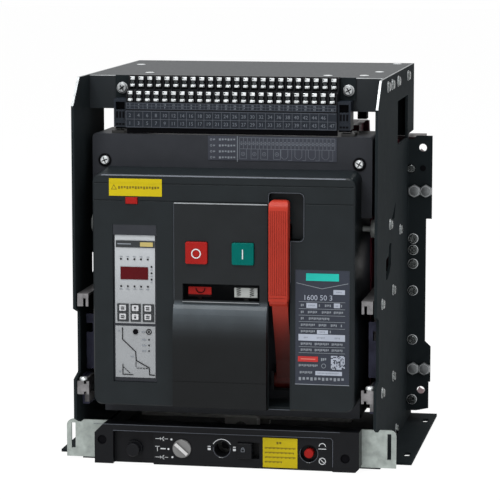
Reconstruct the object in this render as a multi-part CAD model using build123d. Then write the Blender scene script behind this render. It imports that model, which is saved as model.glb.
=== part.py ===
from build123d import *
import os
from math import cos, radians, sin

os.makedirs("parts", exist_ok=True)

# Draw-out air circuit breaker in its cradle. Millimetres, +Z up, +X to the right seen from the front.
# The sizes below count Y from the front face of the front cover towards the back.
# The files are written with the origin on the floor, in the middle of the whole depth.
# Flat faces of fixed pieces touch, moving pieces keep named gaps.

# Cradle sheet metal
cradle_side_room = 22.5
cradle_roof_room = 61.0
sheet = 3.0
plate_front = 3.0
plate_chamfer = 28.8
notch_bottom = 93.7
notch_top = 169.7
notch_depth = 19.0
hook_height = 47.0
flange_back = 280.0
flange_width = 27.5
flange_waist = 6.5
flange_bottom = 17.0
tab_back = 330.0
upper_tab_height = 77.0
lower_tab_height = 16.0
bend_radius = 1.2
foot_width = 30.5
foot_front = 66.0
foot_slot_width = 7.0
foot_slot_length = 18.0
foot_slot_front = 107.0
foot_slot_back = 290.0
rear_hole_radius = 4.5
rear_hole_inset = 10.7
rear_hole_low = 41.0
window_back = 270.0
window_front_left = 139.0
window_front_right = 174.0
top_plate_front = 73.0
top_lip_height = 15.0
hang_flange_height = 33.0
base_lip_height = 17.0
fit_gap = 0.1

# Galvanised crossbar at the front of the cradle
crossbar_front = 38.5
crossbar_thickness = 2.5
crossbar_bottom = 2.0
crossbar_top = 43.0
crossbar_corner = 7.0
crossbar_slot_width = 4.4
crossbar_slot_inset = 7.4

# Operating panel on the crossbar
panel_front = 17.0
panel_bottom = 0.5
panel_top = 44.0
panel_recess_left = -123.2
panel_recess_right = 114.5
panel_recess_top = 36.5
panel_recess_depth = 3.0
knob_pocket_right = -79.5
knob_pocket_depth = 9.0
knob_x = -101.3
knob_z = 16.5
knob_radius = 7.3
knob_collar = 1.6
dial_x = -48.3
dial_z = 19.1
dial_radius = 10.0
dial_shaft_radius = 3.0
crank_x = -4.8
crank_z = 20.3
crank_hole_radius = 8.2
lock_left = 12.6
lock_width = 15.1
lock_bottom = 11.0
lock_height = 17.0
lock_side_room = 8.1
lock_pocket_depth = 12.0
release_x = 89.0
release_z = 19.0
release_radius = 5.0
release_cup_radius = 9.2
release_cup_depth = 8.0
release_proud = 2.0
panel_screw_radius = 5.0
panel_screw_depth = 5.0
button_travel = 3.0

# Racking screw and its carriage
screw_radius = 7.0
screw_journal_radius = 5.0
screw_head_across = 10.0
screw_back = 250.0
screw_bearing_front = 60.0
screw_bearing_back = 236.0
bearing_length = 10.0
carriage_y = 132.0
carriage_length = 22.0
carriage_half_width = 118.0
carriage_hook_x = 92.0

# Main circuit
pole_pitch = 95.0
bar_width = 60.0
bar_thickness = 15.0
bar_upper_z = 262.0
bar_lower_z = 130.0
bar_inner_end = 262.0
bar_rear_end = 405.0
bar_hole_radius = 6.5
bar_hole_pitch = 30.0
bar_hole_inset = 20.0
stab_tip = 250.0
finger_front = 241.0
finger_length = 38.0
finger_height = 7.0
finger_count = 5
contact_gap = 0.3
cage_wall = 1.5
hood_wall = 3.0
hood_half_height = 21.0
hood_front = 243.0

# Moulded rear base of the cradle
base_slab = 26.0
base_rim = 6.0
base_bottom = 17.0
barrier_thickness = 6.0

# Shutters and their guides
shutter_front = 237.5
shutter_thickness = 2.0
shutter_height = 40.0
shutter_clearance = 14.0
shutter_gap = 0.3
guide_lip = 4.3
guide_web = 2.8
guide_bottom = 60.0

# Rails
rail_inset = 2.3
rail_thickness = 5.0
rail_bottom = 64.3
rail_height = 27.4
rail_front = 30.5
rail_back = 262.0
rail_nose_front = 5.0
rail_nose_bottom = 77.3
rail_nose_flange = 2.7
rail_nose_neck = 3.0
rail_nose_notch = 3.0
rail_gap = 0.3
channel_flange = 2.0
strip_bottom = 97.0
strip_top = 157.0
strip_width = 11.4
strip_front = 50.0
strip_back = 90.0
strip_notch_bottom = 137.0
strip_notch_top = 147.0
strip_notch_inset = 4.4

# Terminal block of the control wiring
cell_pitch = 9.45
cell_count = 24
cell_wall = 1.5
block_front = 45.0
number_strip_height = 18.5
number_strip_thickness = 1.5
step_depth = 12.0
clamp_width = 6.4
clamp_height = 10.0
clamp_depth = 6.0
plug_width = 14.0
plug_height = 30.0
plug_front = 50.0
plug_recess = 8.0
terminal_screw_radius = 5.2

# Breaker housings
housing_shoulder_step = 10.8
housing_front = 49.0
housing_back = 127.0
housing_bottom = 52.0
housing_shoulder = 268.0
housing_top = 353.0
housing_wall = 3.0
housing_screw_radius = 4.8
guide_block_height = 4.0
cover_bottom = 68.3
cover_top_rise = 3.4
cover_corner = 9.0
cover_wall = 3.0
cover_groove_high = 305.5
cover_groove_low = 287.2
groove_width = 1.3
groove_depth = 0.9

# Centre panel with its buttons and flags
centre_left = -51.7
centre_right = 48.2
centre_top = 286.5
centre_proud = 2.5
centre_base = 3.0
ledge_height = 2.8
ledge_proud = 2.0
button_size = 23.4
button_z = 233.9
off_x = -27.2
on_x = 22.2
button_proud = 3.0
button_gap = 0.4
button_stem = 5.0
flag_window_left = -42.4
flag_window_right = 39.7
flag_window_bottom = 183.2
flag_window_top = 201.0
flag_height = 10.4
off_flag_x = -25.2
spring_flag_x = 24.0
flag_width = 24.6
hood_top = 180.0
hood_turn = 143.0
hood_depth = 9.0

# Charging handle
slot_left = 48.7
slot_right = 71.6
slot_bottom = 70.0
slot_top = 248.5
pocket_right = 85.5
pocket_top = 298.0
pocket_depth = 14.0
pocket_corner = 5.0
pocket_rim = 1.0
pocket_rim_proud = 0.6
tray_wall = 2.0
handle_left = 50.7
handle_width = 20.0
handle_front = -12.0
grip_bottom = 180.4
grip_top = 291.0
grip_depth = 16.0
grip_cap_height = 10.2
grip_foot = 186.0
grip_crown = 9.0
grip_corner = 4.0
grip_groove_count = 8
grip_groove_pitch = 2.3
grip_groove_width = 0.9
grip_groove_depth = 0.8
pivot_y = 34.0
pivot_z = 95.0
pivot_radius = 4.0
hub_radius = 9.0
stem_depth = 9.0
stem_inset = 2.5
ear_thickness = 3.0
ear_gap = 0.5
pin_running_gap = 0.06
flag_pivot_y = 30.0
flag_pivot_z = 150.0
flag_pin_radius = 2.0
flag_face_y = 4.0
flag_face_thickness = 2.0

# Trip unit and plates on the front cover
trip_width = 47.2
trip_bottom = 93.5
trip_top = 261.5
trip_depth = 42.0
trip_recess = 1.5
trip_panel_thickness = 2.0
band_bottom = 250.5
upper_panel_bottom = 156.3
lower_panel_top = 153.4
lower_panel_bottom = 98.2
key_size_x = 7.0
key_size_z = 6.2
key_pitch_x = 13.6
key_pitch_z = 9.3
key_first_z = 172.7
display_z = 210.0
display_width = 30.0
display_height = 13.8
plate_width = 57.4
plate_bottom = 96.6
plate_height = 121.9
nameplate_thickness = 1.0
tab_width = 12.9
tab_height = 7.1

# Pole unit at the back of the breaker
pole_side_wall = 7.0
chamber_room = 8.0
pole_front = 130.0
pole_back = 232.0
pole_wall = 5.0
chute_half_width = 28.0
chute_front = 150.0
chute_slot_width = 3.0
chute_slot_count = 7
chute_cover = 6.0
stab_inner_end = 172.0
transformer_length = 14.0
shaft_y = 166.0
shaft_z = 190.0
shaft_radius = 8.0
shaft_end_radius = 6.0
arm_half_width = 16.0
bushing_wall = 6.0
arm_half_depth = 12.0
tip_depth = 12.0

# Mechanism between the front cover and the pole unit
frame_plate = 4.0
frame_half_width = 58.0
frame_front = 60.0
frame_back = 120.0
frame_bottom = 70.0
frame_top = 300.0
cam_y = 92.0
cam_z = 190.0
cam_shaft_radius = 7.0
cam_width = 10.0
spring_coil_radius = 11.0
spring_wire_radius = 2.0
spring_turns = 7
spring_bottom = 90.0
spring_pitch = 8.0
spring_seat_half = 15.0
spring_seat_height = 4.0
spring_room = 8.0
cam_low_radius = 14.0
cam_rise = 9.0
ratchet_tip_radius = 20.0
ratchet_root_radius = 17.0
ratchet_x = 30.0
ratchet_width = 6.0
coil_radius = 14.0
coil_length = 34.0

# Breaker side brackets that ride on the rails
bracket_room = 3.6
bracket_thickness = 2.5
bracket_front = 5.0
bracket_web_front = 128.0
bracket_back = 226.0
bracket_top = 186.0
bracket_foot_reach = 13.0
bracket_flange_reach = 14.5
bracket_tab_bottom = 172.4
bracket_lift = 0.6
roller_width = 7.5
roller_radius = 9.8
roller_y = 66.0
roller_z = 254.6

# Fasteners
hex_across = 13.0
hex_height = 5.5
hex_shank_radius = 4.0
hex_high = 272.0
hex_low = 66.5
screw_head_radius = 5.2
screw_head_height = 3.0
screw_shank_radius = 2.5
screw_bite = 6.0
bolt_bite = 12.0
hole_gap = 0.15

# Widths that follow from the poles
chamber_half_width = bar_width / 2 + chamber_room
pole_half_width = pole_pitch + chamber_half_width + pole_side_wall
housing_waist_half = pole_half_width - 1.0
housing_half_width = pole_half_width + housing_shoulder_step
housing_screw_x = housing_half_width - 13.6
guide_block_x = housing_half_width - 25.8
roller_inner = housing_half_width - 2.9
bracket_inner = pole_half_width + bracket_room
cover_half_width = pole_half_width - 0.5
trip_left = -cover_half_width + 21.5
key_first_x = trip_left + 10.1
display_x = trip_left + 23.0
tab_left = trip_left + 14.3
transformer_outer = bar_width + 2.0
plate_left = cover_half_width - 62.6
cradle_width = 2 * (pole_half_width + cradle_side_room)
base_half_width = cradle_width / 2 + 15.5
crossbar_half = cradle_width / 2 + 17.1
panel_left = -cradle_width / 2 + 18.9
panel_right = cradle_width / 2 - 19.6
shutter_half_width = cradle_width / 2 - 13.8
rail_nose_inner = cradle_width / 2 - 16.2

# Heights that follow from the housing and the roof
housing_screw_z = housing_top - 28.5
cover_top = housing_top - 38.4
tab_bottom = cover_top - 30.9
pole_top = housing_top - 27.0
chute_bottom = bar_upper_z + 14.0
chute_top = housing_top + 4.0
cradle_height = housing_top + cradle_roof_room
window_bottom = cradle_height - 81.0
window_top = cradle_height - 32.0
flange_top = cradle_height - 79.0
rear_hole_high = flange_top - 13.7
base_top = flange_top - 2.0
guide_top = base_top - 3.0
number_strip_bottom = cradle_height - 54.0
lower_step = number_strip_bottom + 27.0
upper_step = lower_step + 13.0
block_top = cradle_height + 0.6
terminal_end_z = cradle_height - 13.5
roof_screw_z = cradle_height - 10.0

# Places worked out from the sizes above
half_out = cradle_width / 2
half_in = half_out - sheet
notch_y = plate_front + notch_depth
crossbar_back = crossbar_front + crossbar_thickness
flange_front = flange_back - sheet
flange_edge = half_out + flange_width
foot_edge = half_out + foot_width
rear_hole_x = flange_edge - rear_hole_inset
foot_slot_x = foot_edge - 9.5
bar_centres = [-pole_pitch, 0.0, pole_pitch]
panel_floor = panel_front + panel_recess_depth
knob_floor = panel_front + knob_pocket_depth
release_floor = panel_floor + release_cup_depth
slab_back = flange_back + base_slab
rail_outer = half_in - rail_inset
rail_inner = rail_outer - rail_thickness
rail_top = rail_bottom + rail_height
bracket_foot_z = rail_top + bracket_lift
block_left = -cell_pitch * cell_count / 2
block_right = -block_left
terminal_end_x = block_right + 9.6
stab_thickness = bar_thickness - 2 * contact_gap
finger_back = finger_front + finger_length
pole_bottom = housing_bottom
depth_middle = (handle_front + bar_rear_end) / 2


def block(x0, x1, y0, y1, z0, z1):
    """Box between six faces."""
    centre = Pos((x0 + x1) / 2, (y0 + y1) / 2, (z0 + z1) / 2)
    return centre * Box(x1 - x0, y1 - y0, z1 - z0)


def rod(axis, start, end, a, b, radius):
    """Round bar along X, Y or Z. The pair a, b is its place in the other two axes, in X, Y, Z order."""
    length = end - start
    bar = Cylinder(radius, length)
    middle = (start + end) / 2
    if axis == "x":
        return Pos(middle, a, b) * Rot(0, 90, 0) * bar
    if axis == "y":
        return Pos(a, middle, b) * Rot(90, 0, 0) * bar
    return Pos(a, b, middle) * bar


def prism(axis, points, start, end):
    """Outline pulled straight along one axis, from start to end."""
    if axis == "x":
        corners = [(start, p, q) for p, q in points]
        pull = (1, 0, 0)
    elif axis == "y":
        corners = [(p, start, q) for p, q in points]
        pull = (0, 1, 0)
    else:
        corners = [(p, q, start) for p, q in points]
        pull = (0, 0, 1)
    face = make_face(Polyline(*corners, close=True))
    return extrude(face, amount=end - start, dir=pull)


def both_sides(solid):
    """The solid and its mirror image across the middle plane."""
    return [solid, mirror(solid, about=Plane.YZ)]


def hex_bolt(x, z, seat_y, depth):
    """Bolt whose hexagon head stands forward of a face across Y."""
    face = Plane(origin=(x, seat_y, z), x_dir=(1, 0, 0), z_dir=(0, -1, 0))
    outline = face * RegularPolygon(hex_across / 2, 6, major_radius=False, rotation=30)
    head = extrude(outline, amount=hex_height)
    return head + rod("y", seat_y, seat_y + depth, x, z, hex_shank_radius)


def side_screw(y, z):
    """Pan-head screw on the outer face of the right side plate."""
    head = rod("x", half_out, half_out + screw_head_height, y, z, screw_head_radius)
    crown = head.edges().filter_by(GeomType.CIRCLE).sort_by(Axis.X)[-1]
    head = fillet(crown, screw_head_height * 0.6)
    return head + rod("x", half_in, half_out, y, z, screw_shank_radius)


def front_screw(x, z, seat_y, depth, radius=screw_head_radius):
    """Pan-head screw that faces the front."""
    head = rod("y", seat_y - screw_head_height, seat_y, x, z, radius)
    crown = head.edges().filter_by(GeomType.CIRCLE).sort_by(Axis.Y)[0]
    head = fillet(crown, screw_head_height * 0.6)
    return head + rod("y", seat_y, seat_y + depth, x, z, screw_shank_radius)


# Screws on the side plates, as places in Y and Z
side_screw_places = [
    (83.5, roof_screw_z),
    (119.0, roof_screw_z),
    (173.0, roof_screw_z),
    (268.0, roof_screw_z),
    (46.0, 177.0),
    (110.0, 254.0),
    (203.0, 237.0),
    (142.0, 178.0),
    (51.0, 81.0),
    (148.0, 81.0),
    (180.0, 15.0),
]
# Screws on the rear flanges, as heights
flange_screw_heights = [217.0, 204.0, 188.0, 157.0, 100.0, 30.0]
flange_screw_x = half_out + screw_head_radius + 1.5
hex_inner_x = half_out + bend_radius + hex_across / 2 + 0.1
hex_outer_x = hex_inner_x + hex_across + 0.1
hex_places = [(x, z) for x in (hex_inner_x, hex_outer_x) for z in (hex_high, hex_low)]


# Cut-outs of the side plates that let the racking levers show, as outlines in Y and Z
upper_cutout = [(160.0, 272.5), (153.0, 256.8), (143.5, 255.0), (128.0, 257.8)]
lower_cutout = [
    (110.8, 233.5),
    (125.0, 231.7),
    (123.0, 223.0),
    (122.0, 208.5),
    (108.0, 201.5),
    (92.0, 196.5),
    (79.0, 197.5),
    (79.0, 219.8),
    (99.5, 221.0),
    (103.5, 230.0),
]


def side_plate(window_front):
    """Right side plate: web, rear flange and foot bent from one sheet, with its window, slots and holes."""
    profile = [
        (crossbar_back, 0),
        (crossbar_back, hook_height - 3),
        (notch_y, hook_height - 3),
        (plate_front, hook_height + 4),
        (plate_front, notch_bottom),
        (notch_y, notch_bottom + 5),
        (notch_y, notch_top - 6),
        (plate_front, notch_top),
        (plate_front, cradle_height - plate_chamfer),
        (plate_front + plate_chamfer, cradle_height),
        (tab_back, cradle_height),
        (tab_back, cradle_height - upper_tab_height),
        (flange_back, cradle_height - upper_tab_height),
        (flange_back, lower_tab_height),
        (tab_back, lower_tab_height),
        (tab_back, 0),
    ]
    plate = prism("x", profile, half_in, half_out)
    waist = flange_edge - flange_waist
    flange = [
        (half_in, flange_bottom),
        (flange_edge - 16, flange_bottom),
        (flange_edge - 2, flange_bottom + 3),
        (flange_edge - 2, 51),
        (flange_edge, 51),
        (flange_edge, 92),
        (waist, 98),
        (waist, 240),
        (flange_edge, 240),
        (flange_edge, flange_top),
        (half_out + 9.5, flange_top),
        (half_out + 6.2, flange_top - 4),
        (half_in, flange_top - 4),
    ]
    plate += prism("y", flange, flange_front, flange_back)
    plate += block(half_in, foot_edge, foot_front, tab_back, 0, sheet)
    inner_bend = plate.edges().filter_by(Axis.Z).filter_by(
        lambda e: abs(e.center().X - half_out) < 0.01 and abs(e.center().Y - flange_front) < 0.01
    )
    plate = fillet(inner_bend, bend_radius)
    plate -= block(half_in - 1, half_out + 1, window_front, window_back, window_bottom, window_top)
    for z in (rear_hole_low, rear_hole_high):
        plate -= rod("y", flange_front - 1, flange_back + 1, rear_hole_x, z, rear_hole_radius)
    for y in (foot_slot_front, foot_slot_back):
        plate -= Pos(foot_slot_x, y, sheet / 2) * extrude(
            SlotOverall(foot_slot_length, foot_slot_width, rotation=90), amount=sheet, both=True
        )
    for y, z in side_screw_places:
        plate -= rod("x", half_in - 1, half_out + 1, y, z, screw_shank_radius + hole_gap)
    for z in flange_screw_heights:
        plate -= rod("y", flange_front - 1, flange_back + 1, flange_screw_x, z, screw_shank_radius + hole_gap)
    for x, z in hex_places:
        plate -= rod("y", flange_front - 1, flange_back + 1, x, z, hex_shank_radius + hole_gap)
    for outline in (upper_cutout, lower_cutout):
        plate -= prism("x", outline, half_in - 1, half_out + 1)
    return plate


def top_plate():
    """Roof sheet with side lips and a flange that hangs down at the front."""
    half = half_in - fit_gap
    roof = block(-half, half, top_plate_front, tab_back, cradle_height - sheet, cradle_height)
    lip_bottom = cradle_height - sheet - top_lip_height
    roof += block(-half, half, top_plate_front, top_plate_front + sheet,
                  cradle_height - sheet - hang_flange_height, cradle_height)
    lip = block(half - sheet, half, top_plate_front, tab_back, lip_bottom, cradle_height)
    for piece in both_sides(lip):
        roof += piece
    return [roof]


def base_plate():
    """Floor sheet with side lips and a front lip behind the crossbar, pierced for the racking screw."""
    half = half_in - fit_gap
    floor = block(-half, half, crossbar_back, tab_back - 4, 0, sheet)
    lip = block(half - sheet, half, foot_front, flange_front - 2, 0, sheet + base_lip_height)
    for piece in both_sides(lip):
        floor += piece
    front_lip = block(-half + 8, half - 8, crossbar_back, crossbar_back + sheet, 0, crossbar_top - 3)
    floor += front_lip
    floor -= rod("y", crossbar_back - 1, crossbar_back + sheet + 1, crank_x, crank_z, crank_hole_radius + 1)
    return [floor]


def front_crossbar():
    """Galvanised bar across the front, with an upright slot near each end."""
    bar = block(-crossbar_half, crossbar_half, crossbar_front, crossbar_back, crossbar_bottom, crossbar_top)
    top_corners = bar.edges().filter_by(Axis.Y).filter_by(lambda e: e.center().Z > crossbar_top - 1)
    bar = fillet(top_corners, crossbar_corner)
    slot_x = crossbar_half - crossbar_slot_inset
    for x in (-slot_x, slot_x):
        bar -= block(x - crossbar_slot_width / 2, x + crossbar_slot_width / 2,
                     crossbar_front - 1, crossbar_back + 1, crossbar_bottom + 9, crossbar_top - 4)
    bar -= rod("y", crossbar_front - 1, crossbar_back + 1, crank_x, crank_z, crank_hole_radius + 1)
    return [bar]


def operating_panel():
    """Moulded panel with a shallow recess, the knob pocket, the lock pocket and its bores."""
    outline = [
        (panel_left, panel_bottom),
        (panel_right - 4, panel_bottom),
        (panel_right, panel_bottom + 4),
        (panel_right, panel_top),
        (panel_left + 10, panel_top),
        (panel_left, panel_top - 10),
    ]
    panel = prism("y", outline, panel_front, crossbar_front)
    panel -= block(panel_recess_left, panel_recess_right, panel_front - 1, panel_floor,
                   panel_bottom - 1, panel_recess_top)
    panel -= block(panel_recess_left, knob_pocket_right, panel_front, knob_floor,
                   panel_bottom - 1, panel_recess_top)
    collar = rod("y", knob_floor - 4, knob_floor, knob_x, knob_z, knob_radius + knob_collar)
    panel += collar
    panel -= rod("y", panel_front - 1, crossbar_front - 2, knob_x, knob_z, knob_radius + pin_running_gap)
    panel -= rod("y", panel_front, crossbar_front - 2, dial_x, dial_z, dial_shaft_radius + pin_running_gap)
    panel -= rod("y", panel_front, crossbar_front + 1, crank_x, crank_z, crank_hole_radius)
    panel -= block(lock_left - button_gap, lock_left + lock_width + lock_side_room, panel_front - 1,
                   panel_floor + lock_pocket_depth, lock_bottom - button_gap,
                   lock_bottom + lock_height + button_gap)
    panel -= rod("y", panel_front - 1, release_floor, release_x, release_z, release_cup_radius)
    panel -= rod("y", panel_front - 1, crossbar_front - 2, release_x, release_z,
                 release_radius + pin_running_gap)
    for x, z in ((panel_left + 8.2, 26.2), (panel_right - 14.9, 15.2)):
        panel -= rod("y", panel_front - 1, panel_front + panel_screw_depth, x, z, panel_screw_radius)
    return [panel]


def panel_screws():
    """Screws at the bottom of the two deep holes of the operating panel."""
    floor = panel_front + panel_screw_depth
    return [
        rod("y", floor - 2.5, floor, x, z, panel_screw_radius - 0.8)
        for x, z in ((panel_left + 8.2, 26.2), (panel_right - 14.9, 15.2))
    ]


def latch_knob():
    """Round pull knob with a domed edge."""
    knob = rod("y", panel_front - 3, crossbar_front - 4, knob_x, knob_z, knob_radius)
    rim = knob.edges().filter_by(GeomType.CIRCLE).sort_by(Axis.Y)[0]
    return [fillet(rim, 1.5)]


def position_dial():
    """Disc with a raised bar that points at one of the three positions, on a short shaft."""
    back = panel_floor - contact_gap
    disc = rod("y", back - 2.4, back, dial_x, dial_z, dial_radius)
    rim = disc.edges().filter_by(GeomType.CIRCLE).sort_by(Axis.Y)[0]
    disc = chamfer(rim, 0.8)
    bar = Pos(dial_x, back - 3.2, dial_z) * Rot(0, 41, 0) * Box(dial_radius * 1.75, 2.4, 3.4)
    return [disc + bar + rod("y", back, crossbar_front - 4, dial_x, dial_z, dial_shaft_radius)]


def lock_slider():
    """Tongue with a hole for a padlock, pulled forward out of the panel."""
    tongue = block(lock_left, lock_left + lock_width, panel_front - 1,
                   panel_floor + lock_pocket_depth - 1, lock_bottom, lock_bottom + lock_height)
    tongue -= rod("x", lock_left - 1, lock_left + lock_width + 1, panel_front + 7,
                  lock_bottom + lock_height / 2, 4.0)
    front = tongue.edges().filter_by(Axis.X).filter_by(lambda e: e.center().Y < panel_front)
    return [fillet(front, 1.5)]


def release_button():
    """Small red push button of the position release."""
    stem = rod("y", panel_floor - release_proud, crossbar_front - 2 - button_travel - 1, release_x,
               release_z, release_radius)
    rim = stem.edges().filter_by(GeomType.CIRCLE).sort_by(Axis.Y)[0]
    return [fillet(rim, 1.2)]


def racking_screw():
    """Long screw under the breaker: hexagon drive end, two journals and a plain body for the thread."""
    head_front = crossbar_back + sheet + 1
    head_end = screw_bearing_front - 1
    face = Plane(origin=(crank_x, head_front, crank_z), x_dir=(1, 0, 0), z_dir=(0, 1, 0))
    hexagon = face * RegularPolygon(screw_head_across / 2, 6, major_radius=False)
    head = extrude(hexagon, amount=head_end - head_front)
    front_journal = rod("y", head_end, screw_bearing_front + bearing_length + 0.5, crank_x, crank_z,
                        screw_journal_radius)
    body = rod("y", screw_bearing_front + bearing_length + 0.5, screw_bearing_back - 0.5, crank_x, crank_z,
               screw_radius)
    back_journal = rod("y", screw_bearing_back - 0.5, screw_back, crank_x, crank_z, screw_journal_radius)
    return [head + front_journal + body + back_journal]


def screw_bearings():
    """Two pedestals on the floor sheet that carry the racking screw."""
    pedestals = []
    for y in (screw_bearing_front, screw_bearing_back):
        pedestal = block(crank_x - 14, crank_x + 14, y, y + bearing_length, sheet, crank_z + 12)
        top = pedestal.edges().filter_by(Axis.Y).filter_by(lambda e: e.center().Z > crank_z)
        pedestal = fillet(top, 10)
        pedestal -= rod("y", y - 1, y + bearing_length + 1, crank_x, crank_z,
                        screw_journal_radius + pin_running_gap)
        pedestals.append(pedestal)
    return pedestals


def racking_carriage():
    """Nut on the racking screw with a cross beam and two hooks that push the breaker."""
    back = carriage_y + carriage_length
    beam_top = pole_bottom - 8
    nut = block(crank_x - 18, crank_x + 18, carriage_y, back, sheet + contact_gap, crank_z + 12)
    beam = block(-carriage_half_width, carriage_half_width, carriage_y + 2, back - 2, crank_z + 10, beam_top)
    carriage = nut + beam
    for x in (-carriage_hook_x, carriage_hook_x):
        carriage += block(x - 8, x + 8, carriage_y + 2, back - 2, beam_top - 1, pole_bottom - 0.5)
    carriage -= rod("y", carriage_y - 1, back + 1, crank_x, crank_z, screw_radius + pin_running_gap)
    return [carriage]


def rear_base():
    """Moulded rear base: slab with six windows, hoods round the clusters, rim and barriers at the back."""
    base = block(-base_half_width, base_half_width, flange_back, slab_back, base_bottom, base_top)
    rim = block(-base_half_width, base_half_width, slab_back, tab_back, base_bottom, base_top)
    rim -= block(-base_half_width + base_rim, base_half_width - base_rim, slab_back - 1, tab_back + 1,
                 base_bottom + base_rim, base_top - base_rim)
    base += rim
    for x in (-pole_pitch / 2, pole_pitch / 2):
        base += block(x - barrier_thickness / 2, x + barrier_thickness / 2, slab_back, tab_back,
                      base_bottom, base_top)
    half_bar = bar_width / 2 + fit_gap
    hood_half = bar_width / 2 + hood_wall + 2
    for x in bar_centres:
        for z in (bar_lower_z, bar_upper_z):
            hood = block(x - hood_half, x + hood_half, hood_front, flange_back,
                         z - hood_half_height, z + hood_half_height)
            hood -= block(x - hood_half + hood_wall, x + hood_half - hood_wall, hood_front - 1,
                          flange_back, z - hood_half_height + hood_wall, z + hood_half_height - hood_wall)
            base += hood
            base -= block(x - half_bar, x + half_bar, flange_back - 1, slab_back + 1,
                          z - bar_thickness / 2 - fit_gap, z + bar_thickness / 2 + fit_gap)
    for side in (-1, 1):
        for x, z in hex_places:
            base -= rod("y", flange_back - 1, flange_back + 14, side * x, z, hex_shank_radius + hole_gap)
        for z in (rear_hole_low, rear_hole_high):
            base -= rod("y", flange_back - 1, tab_back + 1, side * rear_hole_x, z, rear_hole_radius + 5)
        for z in flange_screw_heights:
            base -= rod("y", flange_back - 1, flange_back + 8, side * flange_screw_x, z,
                        screw_shank_radius + hole_gap)
    return [base]


def terminals(z):
    """Three copper bars through the rear base, each with two bolt holes at its rear end."""
    bars = []
    for x in bar_centres:
        bar = block(x - bar_width / 2, x + bar_width / 2, bar_inner_end, bar_rear_end,
                    z - bar_thickness / 2, z + bar_thickness / 2)
        ends = bar.edges().filter_by(Axis.Z).filter_by(lambda e: e.center().Y > bar_rear_end - 1)
        bar = chamfer(ends, 4)
        for offset in (-bar_hole_pitch / 2, bar_hole_pitch / 2):
            bar -= rod("z", z - bar_thickness, z + bar_thickness, x + offset, bar_rear_end - bar_hole_inset,
                       bar_hole_radius)
        bars.append(bar)
    return bars


def finger(x0, x1, bar_z, side):
    """Contact finger above or below a bar: seated on the cradle bar, just clear of the breaker's stab."""
    face_z = bar_z + side * bar_thickness / 2
    tip = finger_front
    points = [
        (tip, face_z + side * 2.0),
        (tip + 2, face_z + side * contact_gap),
        (tip + 6, face_z + side * contact_gap),
        (tip + 9, face_z + side * 2.0),
        (finger_back - 12, face_z + side * 2.0),
        (finger_back - 10, face_z),
        (finger_back - 3, face_z),
        (finger_back, face_z + side * 2.0),
        (finger_back, face_z + side * (finger_height - 2)),
        (finger_back - 4, face_z + side * finger_height),
        (tip + 4, face_z + side * finger_height),
        (tip, face_z + side * (finger_height - 2)),
    ]
    return prism("x", points, x0, x1)


def contact_clusters():
    """Six clusters of sprung fingers, each held by a steel cage round the cradle bar's end."""
    pieces = []
    pitch = bar_width / finger_count
    cage_y = bar_inner_end - 10
    for x in bar_centres:
        left = x - bar_width / 2
        for z in (bar_lower_z, bar_upper_z):
            for side in (-1, 1):
                for i in range(finger_count):
                    x0 = left + i * pitch + 0.8
                    pieces.append(finger(x0, x0 + pitch - 1.6, z, side))
            reach = bar_thickness / 2 + finger_height
            cage = block(left - cage_wall - 0.2, left + bar_width + cage_wall + 0.2, cage_y, cage_y + 8,
                         z - reach - cage_wall, z + reach + cage_wall)
            cage -= block(left - 0.2, left + bar_width + 0.2, cage_y - 1, cage_y + 9, z - reach, z + reach)
            pieces.append(cage)
    return pieces


def shutter(bottom):
    """Safety shutter: a sheet that covers three clusters when the breaker is racked out."""
    plate = block(-shutter_half_width, shutter_half_width, shutter_front, shutter_front + shutter_thickness,
                  bottom, bottom + shutter_height)
    return [plate]


def shutter_guides():
    """Upright guides, fixed to the rear base, with a groove for the edges of both shutters."""
    web_inner = shutter_half_width + shutter_gap
    lip_inner = web_inner - guide_lip
    groove_front = shutter_front - shutter_gap
    groove_back = shutter_front + shutter_thickness + shutter_gap
    guide = block(web_inner, web_inner + guide_web, groove_front - 3.5, flange_back, guide_bottom, guide_top)
    guide += block(lip_inner, web_inner, groove_front - 3.5, groove_front, guide_bottom, guide_top)
    guide += block(lip_inner, web_inner, groove_back, groove_back + 3.5, guide_bottom, guide_top)
    return both_sides(guide)


def rail_channels():
    """Fixed channels on the side plates, with the zinc strips above them."""
    low = rail_bottom - rail_gap
    high = rail_top + rail_gap
    start = rail_front + rail_gap
    web_x = rail_outer + rail_gap
    channel = block(web_x, half_in, start, rail_back + 8, low - channel_flange, high + channel_flange)
    channel += block(rail_inner, web_x, start, rail_back + 8, low - channel_flange, low)
    channel += block(rail_inner + 2, web_x, start, rail_back + 8, high, high + 0.25)
    strip = block(half_in - strip_width, half_in, strip_front, strip_front + channel_flange,
                  strip_bottom, strip_top)
    strip += block(half_in - channel_flange, half_in, strip_front, strip_back, strip_bottom, strip_top)
    strip -= block(half_in - strip_width + strip_notch_inset, half_in + 1, strip_front - 1, strip_back + 1,
                   strip_notch_bottom, strip_notch_top)
    return both_sides(channel) + both_sides(strip)


def rail():
    """Right pull-out rail, ribbed along its length, with a nose of H section at its front end."""
    bar = block(rail_inner, rail_outer, rail_front, rail_back, rail_bottom, rail_top)
    bar -= block(rail_inner - 1, rail_inner + 2, rail_front + 6, rail_back - 6, rail_bottom + 9, rail_top - 9)
    nose_top = rail_top - rail_gap
    bar += block(rail_inner, rail_outer, rail_nose_front, rail_front, rail_nose_bottom, nose_top)
    neck = rail_nose_inner + rail_nose_flange
    cap_back = rail_nose_front + sheet
    cap = block(rail_nose_inner, half_in - rail_gap, rail_nose_front, cap_back, rail_nose_bottom, nose_top)
    cap -= block(neck, neck + rail_nose_neck, rail_nose_front - 1, cap_back + 1,
                 rail_nose_bottom - 1, rail_nose_bottom + rail_nose_notch)
    cap -= block(neck, neck + rail_nose_neck, rail_nose_front - 1, cap_back + 1,
                 nose_top - rail_nose_notch, nose_top + 1)
    return bar + cap


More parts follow.
